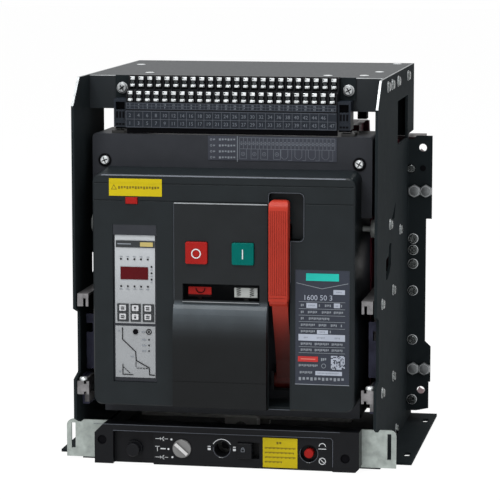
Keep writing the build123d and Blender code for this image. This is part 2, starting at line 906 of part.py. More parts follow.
def terminal_block():
    """Stepped moulding with two rows of cells between thin walls."""
    step_one = block_front + number_strip_thickness
    wall_one = step_one + step_depth - 4
    wall_two = wall_one + step_depth
    profile = [
        (step_one, number_strip_bottom),
        (step_one, lower_step),
        (wall_one, lower_step),
        (wall_one, upper_step),
        (wall_two, upper_step),
        (wall_two, block_top),
        (top_plate_front, block_top),
        (top_plate_front, number_strip_bottom),
    ]
    body = prism("x", profile, block_left, block_right)
    wall_profile = [
        (step_one + 1, lower_step),
        (wall_one, lower_step),
        (wall_one, upper_step),
        (wall_two, upper_step),
        (wall_two, block_top - 1),
        (wall_one + 5, block_top - 1),
        (wall_one + 5, upper_step + 1.5),
        (step_one + 1, upper_step - 1.5),
    ]
    for i in range(cell_count + 1):
        x = block_left + i * cell_pitch
        x0 = min(max(x - cell_wall / 2, block_left), block_right - cell_wall)
        body += prism("x", wall_profile, x0, x0 + cell_wall)
    return [body]


def terminal_clamps():
    """Two rows of clamp boxes, each with its screw head, one in each cell."""
    clamps = []
    wall_one = block_front + number_strip_thickness + step_depth - 4
    rows = (
        (wall_one, lower_step, cell_count),
        (wall_one + step_depth, upper_step, cell_count - 1),
    )
    for back, z, count in rows:
        for i in range(count):
            x = block_left + (i + 0.5) * cell_pitch
            clamps.append(block(x - clamp_width / 2, x + clamp_width / 2, back - clamp_depth, back,
                                z, z + clamp_height))
    return clamps


def number_strip():
    """Thin strip that carries the terminal numbers."""
    return [block(block_left, block_right, block_front, block_front + number_strip_thickness,
                  number_strip_bottom, number_strip_bottom + number_strip_height)]


def plug_sockets():
    """Sockets at both ends of the terminal block, open to the front."""
    socket = block(block_right, block_right + plug_width, plug_front, top_plate_front,
                   number_strip_bottom, number_strip_bottom + plug_height)
    socket -= block(block_right + 2, block_right + plug_width - 2, plug_front - 1, plug_front + plug_recess,
                    number_strip_bottom + 7, number_strip_bottom + plug_height - 3)
    for x in (0.3, 0.5, 0.7):
        for z in (10.5, 16.5):
            socket += block(block_right + x * plug_width - 0.6, block_right + x * plug_width + 0.6,
                            plug_front + plug_recess - 5, plug_front + plug_recess,
                            number_strip_bottom + z, number_strip_bottom + z + 1.2)
    return both_sides(socket)


def terminal_ends():
    """Zinc end plates of the terminal block, each with a screw."""
    reach = terminal_end_x + 7
    plate = block(block_right, reach, top_plate_front - 2, top_plate_front,
                  number_strip_bottom + plug_height, cradle_height)
    screw = rod("y", top_plate_front - 5, top_plate_front - 2, terminal_end_x - 0.5, terminal_end_z,
                terminal_screw_radius)
    crown = screw.edges().filter_by(GeomType.CIRCLE).sort_by(Axis.Y)[0]
    return both_sides(plate) + both_sides(fillet(crown, 1.4))


def cradle_bolts():
    """Hexagon bolts that hold the rear base to both flanges."""
    bolts = []
    for x, z in hex_places:
        bolts += both_sides(hex_bolt(x, z, flange_front, sheet + bolt_bite))
    return bolts


def cradle_screws():
    """Pan-head screws of the side plates and flanges."""
    screws = []
    for y, z in side_screw_places:
        screws += both_sides(side_screw(y, z))
    for z in flange_screw_heights:
        screws += both_sides(front_screw(flange_screw_x, z, flange_front, sheet + screw_bite))
    return screws


def mechanism_housing():
    """Moulded housing behind the front cover: wide shoulders above, narrower below, open at the back."""
    def outline(shrink):
        wide = housing_half_width - shrink
        waist = housing_waist_half - shrink
        return [
            (-wide, housing_top - shrink),
            (wide, housing_top - shrink),
            (wide, housing_shoulder + shrink),
            (waist, housing_shoulder + shrink),
            (waist, housing_bottom + shrink),
            (-waist, housing_bottom + shrink),
            (-waist, housing_shoulder + shrink),
            (-wide, housing_shoulder + shrink),
        ]
    shell = prism("y", outline(0), housing_front, housing_back)
    top_corners = shell.edges().filter_by(Axis.Y).filter_by(lambda e: e.center().Z > housing_top - 1)
    shell = fillet(top_corners, 4)
    shell -= prism("y", outline(housing_wall), housing_front + housing_wall, housing_back + 1)
    for x in (-housing_screw_x, housing_screw_x):
        shell -= rod("y", housing_front - 1, housing_front + housing_wall + 1, x, housing_screw_z,
                     screw_shank_radius + hole_gap)
    for x, size in ((off_x, button_stem), (on_x, button_stem)):
        shell -= block(x - size / 2 - button_gap, x + size / 2 + button_gap, housing_front - 1,
                       housing_front + housing_wall + 1, button_z - size / 2 - button_gap,
                       button_z + size / 2 + button_gap)
    return [shell]


def guide_blocks():
    """Two pale guide blocks on top of the housing, under the terminal block's ends."""
    guide = block(guide_block_x - 8, guide_block_x + 6, housing_front + 6, housing_front + 30,
                  housing_top, housing_top + guide_block_height)
    return both_sides(chamfer(guide.edges().group_by(Axis.Z)[-1], 1.0))


def housing_screws():
    """Two screws on the housing's front face, above the front cover."""
    return [front_screw(x, housing_screw_z, housing_front, housing_wall, housing_screw_radius)
            for x in (-housing_screw_x, housing_screw_x)]


def front_cover():
    """Front shell with rounded top corners, the trip window, the centre bay and the handle slot."""
    half = cover_half_width
    side = [
        (0, cover_bottom),
        (0, cover_top),
        (housing_front, cover_top + cover_top_rise),
        (housing_front, cover_bottom),
    ]
    cover = prism("x", side, -half, half)
    corners = cover.edges().filter_by(lambda e: abs(e.center().X) > half - 0.1 and
                                      abs(e.center().Y - housing_front / 2) < 0.5)
    cover = fillet(corners, cover_corner)
    rim = cover.faces().sort_by(Axis.Y)[0].edges()
    cover = chamfer(rim, 1.5)
    inner = [
        (cover_wall, cover_bottom + cover_wall),
        (cover_wall, cover_top - cover_wall),
        (housing_front + 1, cover_top + cover_top_rise - cover_wall),
        (housing_front + 1, cover_bottom + cover_wall),
    ]
    hollow = prism("x", inner, -half + cover_wall, half - cover_wall)
    hollow_corners = hollow.edges().filter_by(lambda e: abs(e.center().X) > half - cover_wall - 0.1 and
                                              abs(e.center().Y - housing_front / 2) < 4)
    hollow = fillet(hollow_corners, cover_corner - cover_wall)
    cover -= hollow
    cover -= block(trip_left, trip_left + trip_width, -1, cover_wall + 1, trip_bottom, trip_top)
    cover -= block(centre_left, centre_right, -1, cover_wall + 1, cover_bottom - 1, centre_top)
    rim_front = -pocket_rim_proud
    rim_right = pocket_right + pocket_rim
    rim = block(slot_left, rim_right, rim_front, 1, slot_top - pocket_rim, pocket_top + pocket_rim)
    rim_ends = rim.edges().filter_by(Axis.Y).filter_by(lambda e: e.center().X > pocket_right)
    cover += fillet(rim_ends, pocket_corner + pocket_rim)
    cover += block(slot_left, slot_right + pocket_rim, rim_front, 1, slot_bottom - pocket_rim, slot_top)
    cover -= block(slot_left, slot_right, -1, cover_wall + 1, slot_bottom, slot_top + 1)
    tray_back = pocket_depth + tray_wall
    cover += block(slot_left - tray_wall * 0.2, pocket_right + tray_wall, cover_wall - 1, tray_back,
                   slot_top, pocket_top + tray_wall)
    pocket = block(slot_left, pocket_right, -1, pocket_depth, slot_top, pocket_top)
    right_corners = pocket.edges().filter_by(Axis.Y).filter_by(lambda e: e.center().X > pocket_right - 1)
    pocket = fillet(right_corners, pocket_corner)
    cover -= pocket
    cover -= block(slot_left, slot_right, cover_wall - 0.5, tray_back + 1, slot_top - 1, slot_top + 16)
    cover -= block(plate_left, plate_left + plate_width, -1, nameplate_thickness + 0.5,
                   plate_bottom, plate_bottom + plate_height)
    cover -= block(tab_left - button_gap, tab_left + tab_width + button_gap, -1, cover_wall + 1,
                   tab_bottom - button_gap, tab_bottom + tab_height + button_gap)
    for z in (cover_groove_high, cover_groove_low):
        slope = [
            (-1, z + groove_width / 2),
            (groove_depth, z + groove_width / 2),
            (groove_depth, z),
            (0, z - groove_depth),
            (-1, z - groove_depth),
        ]
        ring = prism("x", slope, -half - 1, half + 1)
        if z == cover_groove_low:
            ring -= block(tab_left - 2, tab_left + tab_width + 2, -2, 2, z - 2, z + 2)
            ring -= block(slot_left - 2, pocket_right + 2, -2, 2, z - 2, z + 2)
        cover -= ring
    return [cover]


def centre_panel():
    """Raised panel with two button wells, the flag window and the bulged apron below it."""
    front = -centre_proud
    left = centre_left + fit_gap
    right = centre_right - fit_gap
    panel = block(left, right, front, centre_base, hood_top, centre_top - fit_gap)
    brow = panel.edges().filter_by(Axis.X).filter_by(lambda e: e.center().Y < 0 and e.center().Z > button_z)
    panel = chamfer(brow, 1.2)
    side = [
        (centre_base, cover_bottom),
        (front, cover_bottom),
        (front - hood_depth, cover_bottom + 2),
        (front - hood_depth, hood_turn),
    ]
    steps = 6
    for i in range(1, steps + 1):
        turn = radians(90 * i / steps)
        side.append((front - hood_depth * cos(turn), hood_turn + (hood_top - hood_turn) * sin(turn)))
    side.append((centre_base, hood_top))
    panel += prism("x", side, left, right)
    for x in (off_x, on_x):
        half = button_size / 2 + button_gap
        well = block(x - half, x + half, front - 1, centre_base + 1, button_z - half, button_z + half)
        panel -= fillet(well.edges().filter_by(Axis.Y), 2.0)
    panel -= block(flag_window_left, flag_window_right, front - 1, centre_base + 1,
                   flag_window_bottom, flag_window_top)
    ledge_base = flag_window_bottom - ledge_height
    ledge = [
        (front, ledge_base),
        (front - ledge_proud, flag_window_bottom - 0.6),
        (front, flag_window_bottom),
    ]
    panel += prism("x", ledge, flag_window_left, flag_window_right)
    line_z = cover_bottom + 30
    panel -= block(left - 1, right + 1, front - hood_depth - 1, front - hood_depth + 0.5,
                   line_z - 0.4, line_z + 0.4)
    return [panel]


def push_button(x):
    """Square push button with a stem that reaches back through the housing to its latch."""
    half = button_size / 2
    front = -centre_proud - button_proud
    cap = block(x - half, x + half, front, centre_base, button_z - half, button_z + half)
    cap = fillet(cap.edges().filter_by(Axis.Y), 2.0)
    cap = fillet(cap.faces().sort_by(Axis.Y)[0].edges(), 0.8)
    stem = block(x - button_stem / 2, x + button_stem / 2, centre_base, housing_front + housing_wall + 5,
                 button_z - button_stem / 2, button_z + button_stem / 2)
    return [cap + stem]


def flag(x):
    """Indicator flag: a curved face behind the window on an arm that turns about a pin."""
    radius = flag_pivot_y - flag_face_y
    low = flag_window_bottom + 3.3
    arm = block(x - 2, x + 2, flag_face_y + 1, flag_pivot_y, flag_pivot_z - 2, flag_pivot_z + 2)
    post = block(x - 2, x + 2, flag_face_y + 1, flag_face_y + 5, flag_pivot_z - 2, low + 2)
    face = block(x - flag_width / 2, x + flag_width / 2, flag_face_y, flag_face_y + flag_face_thickness,
                 low, low + flag_height)
    hub = rod("x", x - 5, x + 5, flag_pivot_y, flag_pivot_z, 5.0)
    whole = arm + post + face + hub
    whole -= rod("x", x - 6, x + 6, flag_pivot_y, flag_pivot_z, flag_pin_radius + pin_running_gap)
    return [whole]


def flag_pin():
    """Pin through both flags, with a small bracket on the housing at each end."""
    left = off_flag_x - 16
    right = spring_flag_x + 16
    pin = rod("x", left, right, flag_pivot_y, flag_pivot_z, flag_pin_radius)
    for x in (left, right - 3):
        pin += block(x, x + 3, flag_pivot_y - 5, housing_front, flag_pivot_z - 5, flag_pivot_z + 5)
    return [pin]


def charging_handle():
    """Grip with upright grooves and a rounded crown, on a curved stem with a hub on the handle pin."""
    right = handle_left + handle_width
    back = handle_front + grip_depth
    grip = block(handle_left, right, handle_front, back, grip_foot, grip_top)
    crown = grip.edges().filter_by(Axis.X).filter_by(
        lambda e: e.center().Y < handle_front + 1 and e.center().Z > grip_top - 1
    )
    grip = fillet(crown, grip_crown)
    groove_top = grip_top - grip_cap_height
    first = (handle_left + right - (grip_groove_count - 1) * grip_groove_pitch) / 2
    for i in range(grip_groove_count):
        x = first + i * grip_groove_pitch
        grip -= block(x - grip_groove_width / 2, x + grip_groove_width / 2, handle_front - 1,
                      handle_front + grip_groove_depth, grip_foot + 6, groove_top)
    for x, outer in ((handle_left + grip_corner, handle_left - 1), (right - grip_corner, right + 1)):
        corner = block(min(x, outer), max(x, outer), handle_front - 1, back + 1,
                       grip_top - grip_corner, grip_top + 1)
        grip -= corner - rod("y", handle_front - 2, back + 2, x, grip_top - grip_corner, grip_corner)
    chin = [
        (handle_front, grip_foot),
        (back, grip_foot),
        (back, grip_bottom),
        (handle_front + 5, grip_bottom),
        (handle_front + 1.5, grip_bottom + 2.5),
    ]
    grip += prism("x", chin, handle_left + 0.8, right - 0.8)
    stem_side = [
        (back - stem_depth, grip_bottom + 1),
        (back, grip_bottom + 1),
        (back + 8, grip_bottom - 18),
        (back + 18, grip_bottom - 40),
        (back + 27, grip_bottom - 62),
        (pivot_y + hub_radius - 1, pivot_z),
        (pivot_y - hub_radius + 1, pivot_z),
        (back + 18, grip_bottom - 62),
        (back + 9, grip_bottom - 40),
        (back - 1, grip_bottom - 18),
    ]
    handle = grip + prism("x", stem_side, handle_left + stem_inset, right - 1)
    handle += rod("x", handle_left, right, pivot_y, pivot_z, hub_radius)
    handle -= rod("x", handle_left - 1, right + 1, pivot_y, pivot_z, pivot_radius + pin_running_gap)
    return [handle]


def handle_bracket():
    """Bracket on the housing with two ears and the pin that the charging handle turns on."""
    left = handle_left - ear_gap
    right = handle_left + handle_width + ear_gap
    foot_y = housing_front - ear_thickness
    bracket = block(left - ear_thickness, right + ear_thickness, foot_y, housing_front,
                    pivot_z - 14, pivot_z + 14)
    for x in (left - ear_thickness, right):
        bracket += block(x, x + ear_thickness, pivot_y - 8, foot_y, pivot_z - 10, pivot_z + 10)
    bracket += rod("x", left - ear_thickness, right + ear_thickness, pivot_y, pivot_z, pivot_radius)
    return [bracket]


def trip_unit():
    """Electronic trip unit: box behind the window with a header band and two panels."""
    right = trip_left + trip_width
    face = trip_recess
    body = block(trip_left + fit_gap, right - fit_gap, face + trip_panel_thickness, trip_depth,
                 trip_bottom + fit_gap, trip_top - fit_gap)
    back = face + trip_panel_thickness
    body += block(trip_left + 2, right - 2, face, back, upper_panel_bottom, band_bottom)
    body += block(trip_left + 2, right - 2, face, back, lower_panel_bottom, lower_panel_top)
    body += block(trip_left + 2, right - 2, face + 0.6, back, band_bottom, trip_top - 1.5)
    body -= block(display_x - display_width / 2, display_x + display_width / 2, face - 1, face + 0.8,
                  display_z - display_height / 2, display_z + display_height / 2)
    for i in range(3):
        for j in range(2):
            x = key_first_x + i * key_pitch_x
            z = key_first_z - j * key_pitch_z
            body -= block(x - key_size_x / 2 - 0.3, x + key_size_x / 2 + 0.3, face - 1, face + 4,
                          z - key_size_z / 2 - 0.3, z + key_size_z / 2 + 0.3)
    return [body]


def trip_display():
    """Red window of the trip unit's display."""
    face = trip_recess
    return [block(display_x - display_width / 2, display_x + display_width / 2, face + 0.1, face + 0.8,
                  display_z - display_height / 2, display_z + display_height / 2)]


def key(i, j):
    """One key of the trip unit."""
    x = key_first_x + i * key_pitch_x
    z = key_first_z - j * key_pitch_z
    cap = block(x - key_size_x / 2, x + key_size_x / 2, trip_recess - 0.6, trip_recess + 2.8,
                z - key_size_z / 2, z + key_size_z / 2)
    return [fillet(cap.edges().filter_by(Axis.Y), 0.8)]


def nameplate():
    """Plate let into the cover, right of the handle slot."""
    return [block(plate_left + fit_gap, plate_left + plate_width - fit_gap, 0.5, 0.5 + nameplate_thickness,
                  plate_bottom + fit_gap, plate_bottom + plate_height - fit_gap)]


def reset_tab():
    """Red reset button that pops out through the cover."""
    cap = block(tab_left, tab_left + tab_width, -1.5, cover_wall + 8, tab_bottom, tab_bottom + tab_height)
    front = cap.faces().sort_by(Axis.Y)[0].edges()
    return [fillet(front, 0.8)]


def tab_holder():
    """Guide on the housing that carries the reset button's rear end."""
    y = cover_wall + 8 + button_travel + 1
    return [block(tab_left - 4, tab_left + tab_width + 4, y, housing_front, tab_bottom - 3,
                  tab_bottom + tab_height + 3)]


def pole_housing():
    """Moulded pole unit: three chambers side by side, closed at the back but for the stabs."""
    housing = block(-pole_half_width, pole_half_width, pole_front, pole_back, pole_bottom, pole_top)
    for x in bar_centres:
        housing -= block(x - chamber_half_width, x + chamber_half_width, pole_front - 1,
                         pole_back - pole_wall, pole_bottom + pole_wall, pole_top - pole_wall)
        half = chute_half_width + fit_gap
        housing -= block(x - half, x + half, chute_front - fit_gap, pole_back - pole_wall - 1,
                         pole_top - pole_wall - 1, pole_top + 1)
        for z in (bar_lower_z, bar_upper_z):
            half = bar_width / 2 + fit_gap
            housing -= block(x - half, x + half, pole_back - pole_wall - 1, pole_back + 1,
                             z - stab_thickness / 2 - fit_gap, z + stab_thickness / 2 + fit_gap)
    housing -= rod("x", -pole_half_width - 1, pole_half_width + 1, shaft_y, shaft_z,
                   shaft_radius + bushing_wall)
    return [housing]


def housing_joint_plate():
    """Insulating plate between the mechanism housing and the pole unit."""
    plate = block(-housing_waist_half, housing_waist_half, housing_back, pole_front,
                  housing_bottom, pole_top)
    for x in bar_centres:
        plate -= block(x - 12, x + 12, housing_back - 1, pole_front + 1, shaft_z - 60, shaft_z + 60)
    return [plate]


def shaft_bushings():
    """Bushings in the outer walls of the pole unit for the main shaft."""
    inner = chamber_half_width + pole_pitch
    bushing = rod("x", inner, pole_half_width, shaft_y, shaft_z, shaft_radius + bushing_wall - fit_gap)
    bushing -= rod("x", inner - 1, pole_half_width + 1, shaft_y, shaft_z, shaft_end_radius + pin_running_gap)
    return both_sides(bushing)


def main_shaft():
    """Main shaft across the three poles, with thinner ends in its bushings."""
    inner = chamber_half_width + pole_pitch
    shaft = rod("x", -inner + 1, inner - 1, shaft_y, shaft_z, shaft_radius)
    shaft += rod("x", -pole_half_width, pole_half_width, shaft_y, shaft_z, shaft_end_radius)
    return [shaft]


def moving_contacts():
    """Three insulated arms on the main shaft with copper tips that meet the ends of the upper stabs."""
    arms = []
    reach = bar_upper_z - stab_thickness / 2 - 6
    tip_top = bar_upper_z + stab_thickness / 2 + 4
    tip_back = stab_inner_end - contact_gap
    for x in bar_centres:
        side = [
            (shaft_y - arm_half_depth, shaft_z - 20),
            (shaft_y + arm_half_depth, shaft_z - 20),
            (shaft_y + arm_half_depth, shaft_z + 16),
            (tip_back, reach),
            (tip_back - tip_depth, reach),
            (shaft_y - arm_half_depth, shaft_z + 16),
        ]
        arm = prism("x", side, x - arm_half_width, x + arm_half_width)
        arm -= rod("x", x - arm_half_width - 1, x + arm_half_width + 1, shaft_y, shaft_z, shaft_radius)
        tip = block(x - arm_half_width, x + arm_half_width, tip_back - tip_depth, tip_back, reach, tip_top)
        arms += [arm, tip]
    return arms


def stabs(z):
    """Three copper stabs at the back of the pole unit that enter the cradle's clusters."""
    bars = []
    for x in bar_centres:
        bar = block(x - bar_width / 2, x + bar_width / 2, stab_inner_end, stab_tip,
                    z - stab_thickness / 2, z + stab_thickness / 2)
        tips = bar.edges().filter_by(Axis.X).filter_by(lambda e: e.center().Y > stab_tip - 1)
        bars.append(chamfer(tips, 3))
    return bars


def current_transformers():
    """Three ring transformers round the lower stabs, against the pole unit's rear wall."""
    rings = []
    back = pole_back - pole_wall
    for x in bar_centres:
        ring = block(x - transformer_outer / 2 - 4, x + transformer_outer / 2 + 4, back - transformer_length,
                     back, bar_lower_z - transformer_outer / 2, bar_lower_z + transformer_outer / 2)
        ring = fillet(ring.edges().filter_by(Axis.Y), 12)
        ring -= block(x - bar_width / 2 - 1, x + bar_width / 2 + 1, back - transformer_length - 1, back + 1,
                      bar_lower_z - stab_thickness / 2 - 0.5, bar_lower_z + stab_thickness / 2 + 0.5)
        rings.append(ring)
    return rings


def arc_chutes():
    """Three arc chutes on the pole unit: slotted body with a thicker top cover."""
    chutes = []
    back = pole_back - pole_wall - 1.5
    slot_room = (back - chute_front - 8) / chute_slot_count
    for x in bar_centres:
        chute = block(x - chute_half_width, x + chute_half_width, chute_front, back,
                      chute_bottom, chute_top)
        for i in range(chute_slot_count):
            y = chute_front + 4 + (i + 0.5) * slot_room
            chute -= block(x - chute_half_width + 4, x + chute_half_width - 4, y - chute_slot_width / 2,
                           y + chute_slot_width / 2, chute_bottom - 1, chute_top - chute_cover)
            chute -= block(x - chute_half_width + 8, x + chute_half_width - 8, y - 1.2, y + 1.2,
                           chute_top - chute_cover - 1, chute_top + 1)
        chutes.append(chute)
    return chutes


def mechanism_frame():
    """Two steel side plates of the mechanism, joined by three spacers."""
    outline = [
        (frame_front, frame_bottom),
        (frame_back, frame_bottom),
        (frame_back, frame_top - 30),
        (frame_back - 25, frame_top),
        (frame_front, frame_top),
    ]
    plates = []
    for x in (-frame_half_width, frame_half_width - frame_plate):
        plate = prism("x", outline, x, x + frame_plate)
        plate -= rod("x", x - 1, x + frame_plate + 1, cam_y, cam_z, cam_shaft_radius + pin_running_gap)
        plates.append(plate)
    for y, z in ((frame_front + 8, frame_bottom + 10), (frame_back - 10, frame_bottom + 10),
                 (frame_front + 10, frame_top - 12)):
        plates.append(rod("x", -frame_half_width + frame_plate, frame_half_width - frame_plate, y, z, 5.0))
    feet = []
    for x0 in (-frame_half_width, frame_half_width - frame_plate):
        feet.append(block(x0, x0 + frame_plate, housing_front + housing_wall, frame_front,
                          frame_bottom + 20, frame_bottom + 60))
        feet.append(block(x0, x0 + frame_plate, housing_front + housing_wall, frame_front,
                          frame_top - 40, frame_top - 10))
    whole = plates[0] + feet[0] + feet[1]
    other = plates[1] + feet[2] + feet[3]
    return [whole, other] + plates[2:]


def cam_shaft():
    """Charging shaft with its snail cam and a ratchet wheel of saw teeth."""
    half = frame_half_width + 6
    shaft = rod("x", -half, half, cam_y, cam_z, cam_shaft_radius)
    points = []
    for i in range(18):
        turn = radians(i * 20)
        radius = cam_low_radius + cam_rise * i / 17
        points.append((cam_y + radius * cos(turn), cam_z + radius * sin(turn)))
    shaft += prism("x", points, -cam_width / 2, cam_width / 2)
    teeth = []
    tooth_count = 16
    for i in range(tooth_count):
        turn = radians(i * 360 / tooth_count)
        step = radians(360 / tooth_count)
        low = turn + step * 0.9
        teeth.append((cam_y + ratchet_tip_radius * cos(turn), cam_z + ratchet_tip_radius * sin(turn)))
        teeth.append((cam_y + ratchet_root_radius * cos(low), cam_z + ratchet_root_radius * sin(low)))
    shaft += prism("x", teeth, ratchet_x, ratchet_x + ratchet_width)
    return [shaft]


def closing_spring():
    """Coiled closing spring that stands between two seats beside the mechanism frame."""
    x = -frame_half_width - spring_coil_radius - spring_room
    height = spring_turns * spring_pitch
    path = Pos(x, cam_y, spring_bottom) * Helix(spring_pitch, height, spring_coil_radius)
    section = Plane(origin=path @ 0, z_dir=path % 0) * RegularPolygon(spring_wire_radius, 6)
    coil = sweep(section, path=path, is_frenet=True)
    seats = []
    low_seat = spring_bottom - spring_wire_radius - spring_seat_height
    for z in (low_seat, spring_bottom + height + spring_wire_radius):
        seats.append(block(x - spring_seat_half, -frame_half_width, cam_y - spring_seat_half,
                           cam_y + spring_seat_half, z, z + spring_seat_height))
    return [coil] + seats


def release_coils():
    """Three release solenoids in a row under the top of the housing."""
    coils = []
    for x in (-40, 0, 36):
        y = housing_front + housing_wall
        coil = rod("y", y + 8, y + 8 + coil_length, x, frame_top + 24, coil_radius)
        yoke = block(x - coil_radius, x + coil_radius, y, y + 8, frame_top + 24 - coil_radius,
                     frame_top + 24 + coil_radius)
        plunger = rod("y", y + 8 + coil_length, y + 14 + coil_length, x, frame_top + 24, 3.0)
        coils.append(coil + yoke + plunger)
    return coils


def side_brackets():
    """Steel wings on both sides of the breaker: web, foot above the rail, long flange with a front tab."""
    web_outer = bracket_inner + bracket_thickness
    flange_outer = bracket_inner + bracket_flange_reach
    flange_low = bracket_top - bracket_thickness
    wing = block(bracket_inner, web_outer, bracket_web_front, bracket_back, bracket_foot_z, bracket_top)
    wing += block(bracket_inner, bracket_inner + bracket_foot_reach, bracket_web_front, bracket_back,
                  bracket_foot_z, bracket_foot_z + bracket_thickness)
    wing += block(bracket_inner, flange_outer, bracket_web_front, bracket_back, flange_low, bracket_top)
    wing += block(rail_nose_inner, flange_outer, bracket_front, bracket_web_front, flange_low, bracket_top)
    neck = rail_nose_inner + rail_nose_flange
    tab = [
        (rail_nose_inner, bracket_tab_bottom),
        (neck, bracket_tab_bottom),
        (neck, flange_low - bracket_thickness),
        (neck + rail_nose_neck, flange_low - bracket_thickness),
        (neck + rail_nose_neck, bracket_tab_bottom),
        (flange_outer, bracket_tab_bottom),
        (flange_outer, bracket_top),
        (rail_nose_inner, bracket_top),
    ]
    wing += prism("y", tab, bracket_front, bracket_front + bracket_thickness)
    pieces = both_sides(wing)
    for y in (bracket_web_front + 17, bracket_back - 21):
        for z in (bracket_foot_z + 16, bracket_top - 16):
            pieces += both_sides(rod("x", pole_half_width, bracket_inner, y, z, 6.0))
    return pieces


def side_rollers():
    """Pale guide rollers on pins beside the housing, just under its shoulders."""
    roller = rod("x", roller_inner, roller_inner + roller_width, roller_y, roller_z, roller_radius)
    rims = roller.edges().filter_by(GeomType.CIRCLE)
    roller = fillet(rims, 1.2)
    pin = rod("x", housing_waist_half, roller_inner, roller_y, roller_z, 3.0)
    return both_sides(roller + pin)


def save(name, solids):
    """Write one sub-part as its own file."""
    pieces = []
    for shape in solids:
        pieces += [solid.moved(Location((0, -depth_middle, 0))) for solid in shape.solids()]
    whole = pieces[0] if len(pieces) == 1 else Compound(children=pieces)
    export_step(whole, os.path.join("parts", name + ".step"))


upper_shutter_bottom = bar_upper_z + stab_thickness / 2 + shutter_clearance
lower_shutter_bottom = bar_lower_z - stab_thickness / 2 - shutter_clearance - shutter_height

save("side_plate_right", [side_plate(window_front_right)])
save("side_plate_left", [mirror(side_plate(window_front_left), about=Plane.YZ)])
save("top_plate", top_plate())
save("base_plate", base_plate())
save("front_crossbar", front_crossbar())
save("operating_panel", operating_panel())
save("latch_knob", latch_knob())
save("position_dial", position_dial())
save("lock_slider", lock_slider())
save("release_button", release_button())
save("racking_screw", racking_screw())
save("screw_bearings", screw_bearings())
save("racking_carriage", racking_carriage())
save("rear_base", rear_base())
save("terminals", terminals(bar_upper_z) + terminals(bar_lower_z))
save("contact_clusters", contact_clusters())
save("shutter_upper", shutter(upper_shutter_bottom))
save("shutter_lower", shutter(lower_shutter_bottom))
save("shutter_guides", shutter_guides())
save("rail_channels", rail_channels())
save("rail_right", [rail()])
save("rail_left", [mirror(rail(), about=Plane.YZ)])
save("terminal_block", terminal_block())
save("terminal_clamps", terminal_clamps())
save("number_strip", number_strip())
save("plug_sockets", plug_sockets())
save("terminal_ends", terminal_ends())
save("cradle_bolts", cradle_bolts())
save("cradle_screws", cradle_screws() + panel_screws())
save("mechanism_housing", mechanism_housing())
save("housing_screws", housing_screws())
save("front_cover", front_cover())
save("centre_panel", centre_panel())
save("off_button", push_button(off_x))
save("on_button", push_button(on_x))
save("contact_flag", flag(off_flag_x))
save("spring_flag", flag(spring_flag_x))
save("charging_handle", charging_handle())
save("front_brackets", handle_bracket() + flag_pin() + tab_holder())
save("trip_unit", trip_unit() + trip_display())
for row in range(2):
    for column in range(3):
        save("key_" + str(row * 3 + column + 1), key(column, row))
save("nameplate", nameplate())
save("reset_tab", reset_tab())
save("pole_housing", pole_housing() + housing_joint_plate() + shaft_bushings())
save("main_shaft", main_shaft())
save("moving_contacts", moving_contacts())
save("stabs", stabs(bar_upper_z) + stabs(bar_lower_z))
save("current_transformers", current_transformers())
save("arc_chutes", arc_chutes())
save("mechanism_frame", mechanism_frame())
save("cam_shaft", cam_shaft())
save("closing_spring", closing_spring())
save("release_coils", release_coils())
save("side_brackets", side_brackets())
save("nylon_guides", side_rollers() + guide_blocks())
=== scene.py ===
import math

import bmesh
import bpy
from mathutils import Matrix, Vector


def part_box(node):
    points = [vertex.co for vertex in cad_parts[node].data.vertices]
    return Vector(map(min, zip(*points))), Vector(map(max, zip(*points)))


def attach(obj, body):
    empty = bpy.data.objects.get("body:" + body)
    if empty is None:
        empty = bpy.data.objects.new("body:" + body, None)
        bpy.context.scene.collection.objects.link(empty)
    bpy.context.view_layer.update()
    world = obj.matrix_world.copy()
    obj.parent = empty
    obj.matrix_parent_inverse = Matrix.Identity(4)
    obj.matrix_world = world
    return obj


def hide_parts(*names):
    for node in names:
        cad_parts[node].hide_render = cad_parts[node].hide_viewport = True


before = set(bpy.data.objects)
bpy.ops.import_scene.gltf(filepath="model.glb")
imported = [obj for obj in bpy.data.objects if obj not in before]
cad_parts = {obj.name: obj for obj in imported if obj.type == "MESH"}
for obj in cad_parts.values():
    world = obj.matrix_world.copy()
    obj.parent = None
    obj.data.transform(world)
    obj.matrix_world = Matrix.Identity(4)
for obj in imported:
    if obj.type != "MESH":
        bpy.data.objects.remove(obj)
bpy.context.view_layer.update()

# Air circuit breaker in its draw-out cradle. Places are written in millimetres, with Y counted
# from the front face of the front cover, and turned into metres by place().
MM = 0.001
MARK = 0.08
cover_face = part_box("front_cover")[0].y


def place(x, y, z):
    """Point in the row frame, in metres."""
    return Vector((x * MM, cover_face + y * MM, z * MM))


